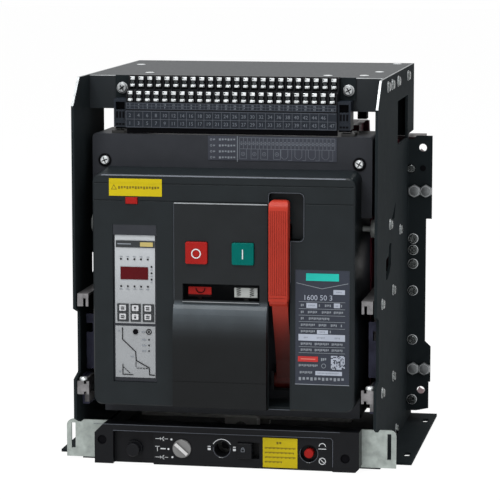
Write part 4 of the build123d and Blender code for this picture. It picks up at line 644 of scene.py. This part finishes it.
# Pale strips over the chamfered front edges, along the roof's front bend and, dimmer, along the side plates'
# top edges: painted highlights.
edge_highlight = Form("painted_edge_highlights", "cradle", metal["edge"], "black_steel")
worn = Form("painted_top_edge_highlights", "cradle", metal["worn"], "black_steel")
for side in BOTH_SIDES:
    low, high = span(side, 160.0, 162.4)
    edge_highlight.slab([(low, 3.1, 385.4), (high, 3.1, 385.4), (high, 31.6, 413.9), (low, 31.6, 413.9)],
                (0, -0.05, 0.05))
    worn.slab([(low, 32.0, ROOF), (high, 32.0, ROOF), (high, 329.0, ROOF), (low, 329.0, ROOF)], (0, 0, 0.05))
    edge_highlight.tile(*span(side, 113.6, 159.0), ROOF - 1.0, ROOF - 0.1, 73.0, 0.06)
edge_highlight.done()
worn.done()

cover_pan = screw_head(4.8, 3.0)
housing_screws = [(-137.2, 22), (137.2, 60)]
housing_screw_z = 324.5
pair = Form("housing_pan_screws", "breaker", metal["clamp"], "zinc_steel")
drives = Form("housing_screw_crosses", "breaker", marks_and_painted_light["black"], "zinc_steel")
# Black ring round each head on the housing: painted shade round the head.
head_shade_rings = Form("housing_screw_shade_rings", "breaker", marks_and_painted_light["black"], "housing_plastic")
for x, turn in housing_screws:
    pair.stamp(cover_pan, facing(x, HOUSING_FACE, housing_screw_z, FRONT, turn))
    cross(drives, x, housing_screw_z, HOUSING_FACE - 3.0, 2.8, turn)
    head_shade_rings.arc(x, housing_screw_z, 6.1, HOUSING_FACE, 2.2)
pair.done(smooth=40, replaces=("housing_screws",))
drives.done()
head_shade_rings.done()

ends = Form("end_plate_screws", "cradle", metal["edge"], "zinc_steel")
end_drives = Form("end_screw_crosses", "cradle", marks_and_painted_light["black"], "zinc_steel")
brackets = Form("end_plates", "cradle", finish["black_steel"], "black_steel")
end_screw_x, end_screw_z = 122.5, 400.5
for side in BOTH_SIDES:
    ends.lathe([(6.1, 0.0), (6.1, 0.8), (5.7, 1.0), (0, 1.0)], (side * end_screw_x, 71.0, end_screw_z),
               FRONT, 28)
    ends.stamp(pan, facing(side * end_screw_x, 70.2, end_screw_z, FRONT, 30 * side))
    cross(end_drives, side * end_screw_x, end_screw_z, 67.2, 2.9, 30)
    brackets.block(*span(side, 113.4, 130.0), 71.0, 73.0, 390.0, 414.0, 0.3)
ends.done(smooth=40, replaces=("terminal_ends",))
brackets.done()
end_drives.done()

# ---------------------------------------------------------------- front cover and buttons
cover_label = Form("cover_label", "breaker", marks_and_painted_light["yellow"], "cover_plastic")
cover_label.tile(-121.3, -64.5, 292.0, 304.9, 0.0, 0.12)
cover_label.tile(-121.3, -64.5, 306.1, 310.4, 0.0, 0.12)
cover_label.tile(-121.3, -64.5, 304.8, 306.2, 0.0, 0.12)
cover_label.done()
label_words = Form("cover_label_print", "breaker", marks_and_painted_light["olive"], "cover_plastic")
label_words.words(((-111.5, -66.0),), 300.9, -0.12, 3.0, 2.1, 0.9)
label_words.stroke([(-118.6, 299.0), (-113.4, 299.0), (-116.0, 303.6), (-118.6, 299.0)], -0.12, 0.7)
label_words.done()

# rounded edges that catch the light
cover_low, cover_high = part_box("front_cover")
reach_x = cover_high.x / MM - 10
glints = Form("cover_glints", "breaker", marks_and_painted_light["dim"], "cover_plastic")
glints.slab([(-reach_x, 0.1, 313.2), (reach_x, 0.1, 313.2), (reach_x, 1.3, 314.4), (-reach_x, 1.3, 314.4)],
            (0, -0.06, 0.06))
glints.stroke([(48.9, 287.0), (48.9, 296.5), (51.0, 298.6), (81.5, 298.6), (84.9, 297.2), (86.2, 293.8),
               (86.2, 252.0), (84.6, 248.6), (81.4, 247.9), (72.2, 247.9), (72.2, 205.0)], -0.6, 0.45)
glints.stroke([(49.4, 69.5), (71.4, 69.5)], -0.6, 0.5)
glints.stroke([(-51.4, 184.0), (-51.4, 285.0)], -2.5, 0.3)
glints.done()
lips = Form("panel_glints", "breaker", marks_and_painted_light["lip"], "cover_plastic")
lips.slab([(-51.2, -2.4, 285.3), (47.8, -2.4, 285.3), (47.8, -1.4, 286.3), (-51.2, -1.4, 286.3)],
          (0, -0.06, 0.06))
lips.stroke([(-41.8, 182.3), (39.1, 182.3)], -4.35, 0.9)
lips.done()
front_lip = Form("operating_panel_glint", "cradle", marks_and_painted_light["dim"], "black_plastic")
front_lip.stroke([(-144.0, 43.4), (122.0, 43.4)], 17.0, 0.5)
front_lip.done()

ring = Form("off_ring", "off_button", marks_and_painted_light["white"], "red_plastic")
ring.arc(-27.2, 233.4, 4.6, BUTTON_FACE, 1.1, count=40)
ring.done()
bar = Form("on_bar", "on_button", marks_and_painted_light["white"], "green_plastic")
bar.tile(21.7, 22.8, 228.6, 238.9, BUTTON_FACE)
bar.done()

dots = Form("handle_dots", "charging_handle", marks_and_painted_light["pink"], "red_plastic")
for i in range(15):
    dots.disc(52.0 + i * 1.25, 189.2, 0.38, -11.32, count=8)
dots.done()

flag_ring = Form("contact_flag_ring", "contact_flag", marks_and_painted_light["black"], "red_plastic")
flag_ring.arc(-24.4, 195.6, 4.8, FLAG_FACE, 0.9, 180, 360)
flag_ring.done()
flag_mark = Form("spring_flag_mark", "spring_flag", marks_and_painted_light["black"], "pale_plastic")
for x in (16.4, 30.6):
    for i in range(4):
        z = 188.2 + i * 2.2
        flag_mark.stroke([(x - 2.2, z), (x + 2.2, z + 1.6)], FLAG_FACE, 0.5)
        flag_mark.stroke([(x + 2.2, z + 1.6), (x - 2.2, z + 2.0)], FLAG_FACE, 0.35)
flag_mark.done()

# ---------------------------------------------------------------- trip unit
face = 1.5
black = Form("trip_black", "breaker", marks_and_painted_light["black"], "panel_grey")
dark = Form("trip_dark", "breaker", marks_and_painted_light["dark"], "panel_grey")
dark.tile(-114.8, -72.8, 237.3, 244.7, face)
for x0, middle, x1 in ((-113.7, -107.9, -101.3), (-99.3, -94.3, -88.2), (-86.2, -80.7, -73.7)):
    for z0, low, z1 in ((167.9, 172.7, 177.3), (158.2, 163.4, 167.5)):
        # dark surround in four bars round the key
        dark.tile(x0, middle - 3.9, z0, z1, face)
        dark.tile(middle + 3.9, x1, z0, z1, face)
        dark.tile(middle - 3.9, middle + 3.9, z0, low - 3.5, face)
        dark.tile(middle - 3.9, middle + 3.9, low + 3.5, z1, face)
lamp_columns = (-109.3, -102.0, -94.8, -87.7, -80.4)
for x in lamp_columns:
    for z in (224.9, 195.9):
        black.disc(x, z, 1.05, face)
for z in (217.2, 210.4, 203.7):
    black.disc(-76.4, z, 1.05, face)
black.stroke([(-108.1, 151.2), (-108.2, 139.0), (-94.1, 125.9), (-93.5, 116.6), (-79.5, 109.1),
              (-79.0, 101.6), (-73.6, 101.2)], face, 0.95)
for z0, z1 in ((114.7, 112.9), (111.8, 110.0)):
    black.stroke([(-93.8, z0), (-93.8, z1)], face, 0.7)
for x in (-92.6, -89.4, -86.2, -83.0):
    black.stroke([(x, 108.4), (x + 1.8, 108.4)], face, 0.7)
black.stroke([(-108.0, 112.3), (-108.1, 101.4), (-97.2, 101.2)], face, 0.8)
for i in range(4):
    a, b = i / 4, i / 4 + 0.16
    black.stroke([(-107.4 + 7.6 * a, 109.3 - 7.0 * a), (-107.4 + 7.6 * b, 109.3 - 7.0 * b)], face, 0.6)
for z in (139.2, 133.1, 127.1):
    black.tile(-80.3, -78.7, z - 0.8, z + 0.8, face)
black.disc(-94.0, 147.5, 2.9, face, 0.5)
black.arc(-79.6, 147.7, 2.6, face, 0.9)
black.disc(-79.6, 147.7, 1.1, face)
black.done()
dark.done()
fine = Form("trip_fine_marks", "breaker", marks_and_painted_light["grey"], "panel_grey")
for x in lamp_columns:
    fine.tile(x - 1.5, x + 1.5, 227.3, 227.9, face)
    fine.tile(x - 1.7, x + 1.7, 192.6, 193.2, face)
for z in (213.9, 207.1, 200.4):
    fine.tile(-77.6, -75.2, z - 0.3, z + 0.3, face)
for z in (139.2, 133.1, 127.1):
    fine.tile(-87.2, -82.6, z - 0.5, z + 0.5, face)
fine.tile(-87.6, -83.4, 147.0, 148.0, face)
fine.tile(-113.4, -110.6, 147.4, 148.2, face)
fine.tile(-99.4, -96.2, 120.4, 121.2, face)
fine.tile(-112.2, -109.8, 103.8, 104.6, face)
fine.done()
rating = Form("trip_rating_box", "breaker", marks_and_painted_light["tan"], "panel_grey")
rating.tile(-88.6, -74.8, 238.5, 243.1, face - MARK)
rating.done()
name_bar = Form("trip_name_rule", "breaker", marks_and_painted_light["grey"], "panel_grey")
name_bar.tile(-113.0, -98.5, 240.5, 241.6, face - MARK)
name_bar.done()
glass = Form("display_window", "breaker", marks_and_painted_light["glass"], "red_plastic")
glass.block(-109.9, -80.1, 1.45, 1.75, 203.3, 216.7, 0.1)
glass.done()
tray = Form("trip_header", "breaker", finish["housing_plastic"], "housing_plastic")
tray.tile(-117.6, -71.3, 250.6, 261.6, 1.5, 0.8)
tray.done()
sill = Form("trip_sill", "breaker", finish["housing_plastic"], "housing_plastic")
sill.tile(-117.7, -71.2, 153.5, 156.2, 3.5, 1.2)
sill.tile(-117.7, -71.2, 93.8, 98.1, 3.5, 0.3)
sill.tile(-117.7, -116.2, 98.1, 250.4, 3.5, 0.3)
sill.tile(-72.6, -71.2, 98.1, 250.4, 3.5, 0.3)
sill.done()
for index, (i, j) in enumerate([(i, j) for j in range(2) for i in range(3)]):
    key_x, key_z = -107.9 + 13.6 * i, 172.7 - 9.3 * j
    glyph = Form("key_mark_%d" % (index + 1), "key_%d" % (index + 1), marks_and_painted_light["dark"], "key_plastic")
    if i == 1:
        lift = 1 if j == 0 else -1
        glyph.polygon([(key_x - 0.5, key_z - 1.8), (key_x + 0.5, key_z - 1.8), (key_x + 0.5, key_z + 1.8),
                       (key_x - 0.5, key_z + 1.8)], 0.9 - MARK, 0.9)
        tip = [(key_x - 1.5, key_z + 0.4 * lift), (key_x + 1.5, key_z + 0.4 * lift),
               (key_x, key_z + 2.2 * lift)]
        glyph.polygon(tip if lift == 1 else tip[::-1], 0.9 - MARK, 0.9)
    else:
        for z in (key_z - 1.1, key_z + 0.9):
            glyph.tile(key_x - 2.0, key_x + 2.0, z - 0.5, z + 0.5, 0.9)
    glyph.done()

# ---------------------------------------------------------------- nameplate
plate = 0.5
rules = Form("plate_rules", "breaker", marks_and_painted_light["grey"], "plate_metal")
for z in (184.9, 177.5, 170.6, 163.9, 156.9, 137.3, 130.9):
    rules.stroke([(81.1, z), (129.5, z)], plate, 0.45)
rules.stroke([(78.4, 204.6), (105.3, 198.9), (132.4, 204.8)], plate, 0.6)
rules.stroke([(77.4, 97.4), (133.9, 97.4)], plate, 0.8)
rules.done()
prints = Form("plate_print", "breaker", marks_and_painted_light["grey"], "plate_metal")
for z, spans in ((181.2, ((83.1, 87.3), (102, 104.2), (108.4, 114.7), (125.2, 127.3))),
                 (174.0, ((83.1, 86.2), (90.5, 101.0), (105.2, 114.7), (117.8, 127.3))),
                 (167.2, ((83.1, 87.3), (91.5, 113.6))),
                 (160.4, ((83.1, 98.9), (102.0, 110.5), (114.7, 121.0), (125.2, 127.3))),
                 (153.6, ((83.1, 97.8), (113.6, 114.7))),
                 (140.4, ((83.1, 94.7), (97.8, 112.6), (115.7, 127.3))),
                 (134.0, ((83.1, 94.7), (97.8, 112.6), (115.7, 127.3))),
                 (117.4, ((81.0, 102.0),)),
                 (110.0, ((82.1, 95.8),))):
    prints.words(spans, z, plate, 2.6, 1.15, 0.55)
prints.words(((81.0, 129.4),), 103.2, plate, 3.4, 2.5, 1.6)
prints.arc(107.3, 117.4, 2.2, plate, 0.5, count=16)
prints.words(((104.6, 109.8),), 124.2, plate, 3.2, 1.4, 0.6)
prints.done()
title = Form("plate_numbers", "breaker", marks_and_painted_light["pale"], "plate_metal")
title.number("1600 50 3", 101.0, 189.4, plate, 5.4)
title.done()
whites = Form("plate_boxes", "breaker", marks_and_painted_light["pale"], "plate_metal")
for box in ((117.3, 129.4, 193.1, 198.0), (88.9, 100.2, 178.4, 183.7), (117.8, 124.3, 179.0, 183.9),
            (100.1, 111.8, 151.2, 155.3), (98.6, 126.7, 107.4, 111.8), (80.6, 129.7, 143.7, 150.7)):
    whites.tile(*box, plate)
whites.done()
over = Form("plate_box_print", "breaker", marks_and_painted_light["grey"], "plate_metal")
for z, spans in ((147.0, ((86.3, 90.5), (100.0, 109.4), (118.9, 124.1))), (195.5, ((120.5, 126.5),)),
                 (181.0, ((91.0, 98.0), (119.8, 122.4))), (153.2, ((103.0, 109.5),)),
                 (109.6, ((101.0, 124.0),))):
    over.words(spans, z, plate - MARK, 1.8, 0.9, 0.6)
over.done()
code = Form("plate_code", "breaker", marks_and_painted_light["pale"], "plate_metal")
cells = 13
for i in range(cells):
    for j in range(cells):
        if math.sin(i * 12.99 + j * 78.23) * 437.5 % 1 > 0.34:
            x, z = 115.0 + i * 14.6 / cells, 113.9 + j * 14.6 / cells
            code.tile(x, x + 1.1, z, z + 1.1, plate)
code.done()
teal = Form("plate_teal_bar", "breaker", marks_and_painted_light["teal"], "plate_metal")
teal.tile(88.4, 123.1, 207.0, 214.9, plate)
teal.done()
box = Form("plate_red_box", "breaker", marks_and_painted_light["red"], "plate_metal")
box.tile(80.1, 101.3, 121.4, 127.1, plate)
box.done()
strike = Form("plate_red_mark", "breaker", marks_and_painted_light["pink"], "plate_metal")
strike.tile(83.0, 98.5, 123.9, 124.7, plate - MARK)
strike.done()

# ---------------------------------------------------------------- wiring label on the housing
film = Form("wiring_label", "breaker", marks_and_painted_light["label"], "housing_plastic")
film.tile(-24.9, 113.2, 326.5, 352.4, HOUSING_FACE, 0.1)
film.done()
lines = Form("wiring_lines", "breaker", marks_and_painted_light["fine"], "housing_plastic")
on_label = HOUSING_FACE - 0.1
cells_left, cells_right = 9.2, 111.1
for z in (350.9, 344.8, 339.0):
    lines.stroke([(cells_left, z), (cells_right, z)], on_label, 0.5)
count = 24
for i in range(count + 1):
    x = cells_left + (cells_right - cells_left) * i / count
    lines.stroke([(x, 339.0), (x, 350.9)], on_label, 0.5)
for i in range(count):
    x = cells_left + (cells_right - cells_left) * (i + 0.5) / count
    for z in (346.2, 343.6):
        lines.tile(x - 0.9, x + 0.9, z - 0.5, z + 0.5, on_label)
for x in (12.9, 25.2, 35.6, 49.3):
    lines.arc(x, 333.6, 1.9, on_label, 0.5, count=16)
    lines.disc(x, 333.6, 0.6, on_label, count=10)
    lines.stroke([(x - 3.6, 339.0), (x - 3.6, 328.4), (x + 3.8, 328.4), (x + 3.8, 339.0)], on_label, 0.45)
for x in (53.6, 68.6, 82.9, 97.4):
    lines.stroke([(x, 339.0), (x, 331.4), (x + 2.6, 328.8), (x + 5.2, 328.8), (x + 7.4, 331.4),
                  (x + 7.4, 339.0)], on_label, 0.45)
    lines.stroke([(x + 11.6, 339.0), (x + 11.6, 327.6), (x + 7.8, 327.6)], on_label, 0.4)
lines.done()
text_marks = Form("wiring_text", "breaker", marks_and_painted_light["grey"], "housing_plastic")
text_marks.stroke([(6.9, 325.4), (6.9, 352.2)], on_label, 0.7)
for z in (348.5, 342.1, 335.8, 329.4):
    text_marks.arc(-21.4, z, 1.0, on_label, 0.5, count=10)
    text_marks.words(((-19.2, -16.8),), z, on_label, 1.8, 0.8, 0.4)
    text_marks.words(((-13.0, 4.4),), z, on_label, 2.2, 2.0, 1.1)
text_marks.done()

# ---------------------------------------------------------------- operating panel
floor = 20.0
white = Form("panel_symbols", "cradle", marks_and_painted_light["white"], "black_plastic")
for z, sign in ((29.0, 1), (8.9, -1)):
    white.stroke([(-77.0, z), (-70.6, z)], floor, 0.5)
    white.stroke([(-72.0, z + 1.2), (-70.6, z), (-72.0, z - 1.2)], floor, 0.45)
    white.arc(-67.0, z, 2.2, floor, 0.6, 110, 250)
    white.stroke([(-67.0, z), (-63.6, z)], floor, 0.5)
    white.disc(-59.7 if sign > 0 else -58.7, z - sign * 0.4, 1.1, floor)
white.stroke([(-77.2, 20.6), (-73.0, 20.6)], floor, 0.6)
white.stroke([(-75.1, 20.6), (-75.1, 15.6)], floor, 0.6)
white.tile(-71.6, -66.0, 17.6, 18.8, floor)
white.disc(-63.0, 18.0, 1.1, floor)
white.arc(-4.8, 20.3, 10.6, floor, 0.7, 28, 152)
white.arc(-4.8, 20.3, 9.4, floor, 0.5, 250, 280, count=10)
white.arc(89.0, 19.0, 9.9, floor, 0.5, 255, 280, count=10)
for x, z in ((-18.6, 22.6), (8.8, 22.6)):
    white.tile(x - 1.6, x + 1.6, z - 0.4, z + 0.6, floor)
    white.tile(x - 1.6, x + 1.6, z - 4.0, z - 1.6, floor)
white.arc(103.4, 27.0, 3.4, floor, 0.7, 0, 180)
white.stroke([(99.6, 24.4), (107.2, 24.4)], floor, 0.7)
white.arc(103.4, 11.2, 3.4, floor, 0.7, 0, 360)
white.stroke([(100.6, 13.8), (106.2, 8.6)], floor, 0.7)
white.done()
# Lighter lines along the recess edge and round the rims of the two round openings: painted highlights.
recess_highlights = Form("panel_edge_highlights", "cradle", marks_and_painted_light["dim"], "black_plastic")
recess_highlights.stroke([(-123.0, 36.9), (112.6, 36.9), (114.9, 34.6), (114.9, 6.0)], 17.0, 0.5)
recess_highlights.arc(-4.8, 20.3, 9.2, floor, 0.45, 170, 370)
recess_highlights.arc(89.0, 19.0, 9.7, floor, 0.45, 150, 390)
recess_highlights.done()
# Black discs at the bottom of the deep wells: painted shade.
wells = Form("deep_wells", "cradle", marks_and_painted_light["black"], "black_plastic")
for x, z in ((-135.4, 26.2), (128.0, 15.2)):
    wells.disc(x, z, 4.9, 19.5, 0.1)
wells.done()
padlock = Form("padlock_mark", "lock_slider", marks_and_painted_light["grey"], "black_plastic")
padlock.frame(16.8, 20.2, 18.9, 21.9, 16.0, 0.5)
padlock.arc(18.5, 22.1, 1.3, 16.0, 0.45, 0, 180, count=12)
padlock.done()
label = Form("panel_label", "cradle", marks_and_painted_light["yellow"], "black_plastic")
label.tile(39.5, 76.7, 2.4, 34.4, floor, 0.12)
label.done()
print_rules = Form("panel_label_print", "cradle", marks_and_painted_light["olive"], "black_plastic")
print_rules.words(((54.2, 61.8),), 29.0, floor - 0.12, 2.6, 2.2, 0.8)
for i, right in enumerate((74.6, 72.8, 75.2, 60.6)):
    print_rules.words(((41.6, right),), 23.4 - i * 5.0, floor - 0.12, 2.0, 1.0, 0.45)
print_rules.done()
dial_bar = Form("dial_pointer", "position_dial", metal["pointer"], "grey_dial")
turn = math.radians(-41)
ux, uz = math.cos(turn), math.sin(turn)
dial_x, dial_z = -48.3, 19.1
half_long, half_wide = 8.6, 1.7
dial_bar.polygon([(dial_x + a * half_long * ux - b * half_wide * uz,
                   dial_z + a * half_long * uz + b * half_wide * ux)
                  for a, b in ((-1, -1), (1, -1), (1, 1), (-1, 1))], 15.2, 15.3)
dial_bar.done()

# ---------------------------------------------------------------- light, floor and camera
def area_light(name, spot, aim, size, watts):
    """Large soft lamp aimed at a point."""
    data = bpy.data.lights.new(name, "AREA")
    data.shape = "SQUARE"
    data.size = size
    data.energy = watts
    lamp = bpy.data.objects.new(name, data)
    bpy.context.collection.objects.link(lamp)
    lamp.location = spot
    lamp.rotation_mode = "QUATERNION"
    lamp.rotation_quaternion = (Vector(aim) - Vector(spot)).to_track_quat("-Z", "Y")


middle = (0, 0, 0.2)
area_light("key", (-0.8, -2.0, 2.6), middle, 1.3, 58)
area_light("fill", (1.4, -2.4, 1.2), middle, 1.6, 12)
area_light("top", (0.1, -0.3, 2.6), middle, 1.4, 30)


def seen_plain(nodes, links):
    """One where a ray comes from the camera, a reflection or glass, else zero."""
    path = nodes.new("ShaderNodeLightPath")
    first = nodes.new("ShaderNodeMath")
    first.operation = "MAXIMUM"
    links.new(path.outputs["Is Camera Ray"], first.inputs[0])
    links.new(path.outputs["Is Glossy Ray"], first.inputs[1])
    second = nodes.new("ShaderNodeMath")
    second.operation = "MAXIMUM"
    links.new(first.outputs[0], second.inputs[0])
    links.new(path.outputs["Is Transmission Ray"], second.inputs[1])
    return second.outputs[0]


world = bpy.data.worlds.new("studio")
bpy.context.scene.world = world
world.use_nodes = True
nodes, links = world.node_tree.nodes, world.node_tree.links
nodes.clear()
soft = nodes.new("ShaderNodeBackground")
soft.inputs["Color"].default_value = (1, 1, 1, 1)
soft.inputs["Strength"].default_value = 0.38
plain = nodes.new("ShaderNodeBackground")
plain.inputs["Color"].default_value = (1, 1, 1, 1)
plain.inputs["Strength"].default_value = 1.0
pick = nodes.new("ShaderNodeMixShader")
links.new(seen_plain(nodes, links), pick.inputs[0])
links.new(soft.outputs[0], pick.inputs[1])
links.new(plain.outputs[0], pick.inputs[2])
output = nodes.new("ShaderNodeOutputWorld")
links.new(pick.outputs[0], output.inputs["Surface"])

ground = bpy.data.meshes.new("floor")
reach = 12.0
ground.from_pydata([(-reach, -reach, -0.0005), (reach, -reach, -0.0005), (reach, reach, -0.0005),
                    (-reach, reach, -0.0005)], [], [(0, 1, 2, 3)])
floor_object = bpy.data.objects.new("floor", ground)
bpy.context.collection.objects.link(floor_object)
paper = bpy.data.materials.new("floor_paper")
paper.use_nodes = True
nodes, links = paper.node_tree.nodes, paper.node_tree.links
matte = nodes["Principled BSDF"]
matte.inputs["Base Color"].default_value = (0.9, 0.9, 0.9, 1)
matte.inputs["Roughness"].default_value = 0.9
matte.inputs["Specular IOR Level"].default_value = 0.1
glow = nodes.new("ShaderNodeEmission")
glow.inputs["Color"].default_value = (1, 1, 1, 1)
glow.inputs["Strength"].default_value = 1.06
share = nodes.new("ShaderNodeMath")
share.operation = "MULTIPLY"
share.inputs[1].default_value = 0.90
links.new(seen_plain(nodes, links), share.inputs[0])
blend = nodes.new("ShaderNodeMixShader")
links.new(share.outputs[0], blend.inputs[0])
links.new(matte.outputs[0], blend.inputs[1])
links.new(glow.outputs[0], blend.inputs[2])
links.new(blend.outputs[0], nodes["Material Output"].inputs["Surface"])
ground.materials.append(paper)

camera_data = bpy.data.cameras.new("camera")
camera_data.sensor_width = 36.0
camera_data.lens = 178.996
camera_data.clip_start = 0.1
camera_data.clip_end = 60.0
camera = bpy.data.objects.new("camera", camera_data)
bpy.context.collection.objects.link(camera)
camera.location = (0.483044, -2.726857, 0.59223)
camera.rotation_euler = (math.radians(82.151), 0.0, math.radians(10.17))
bpy.context.scene.camera = camera
bpy.context.scene.view_settings.view_transform = "Standard"
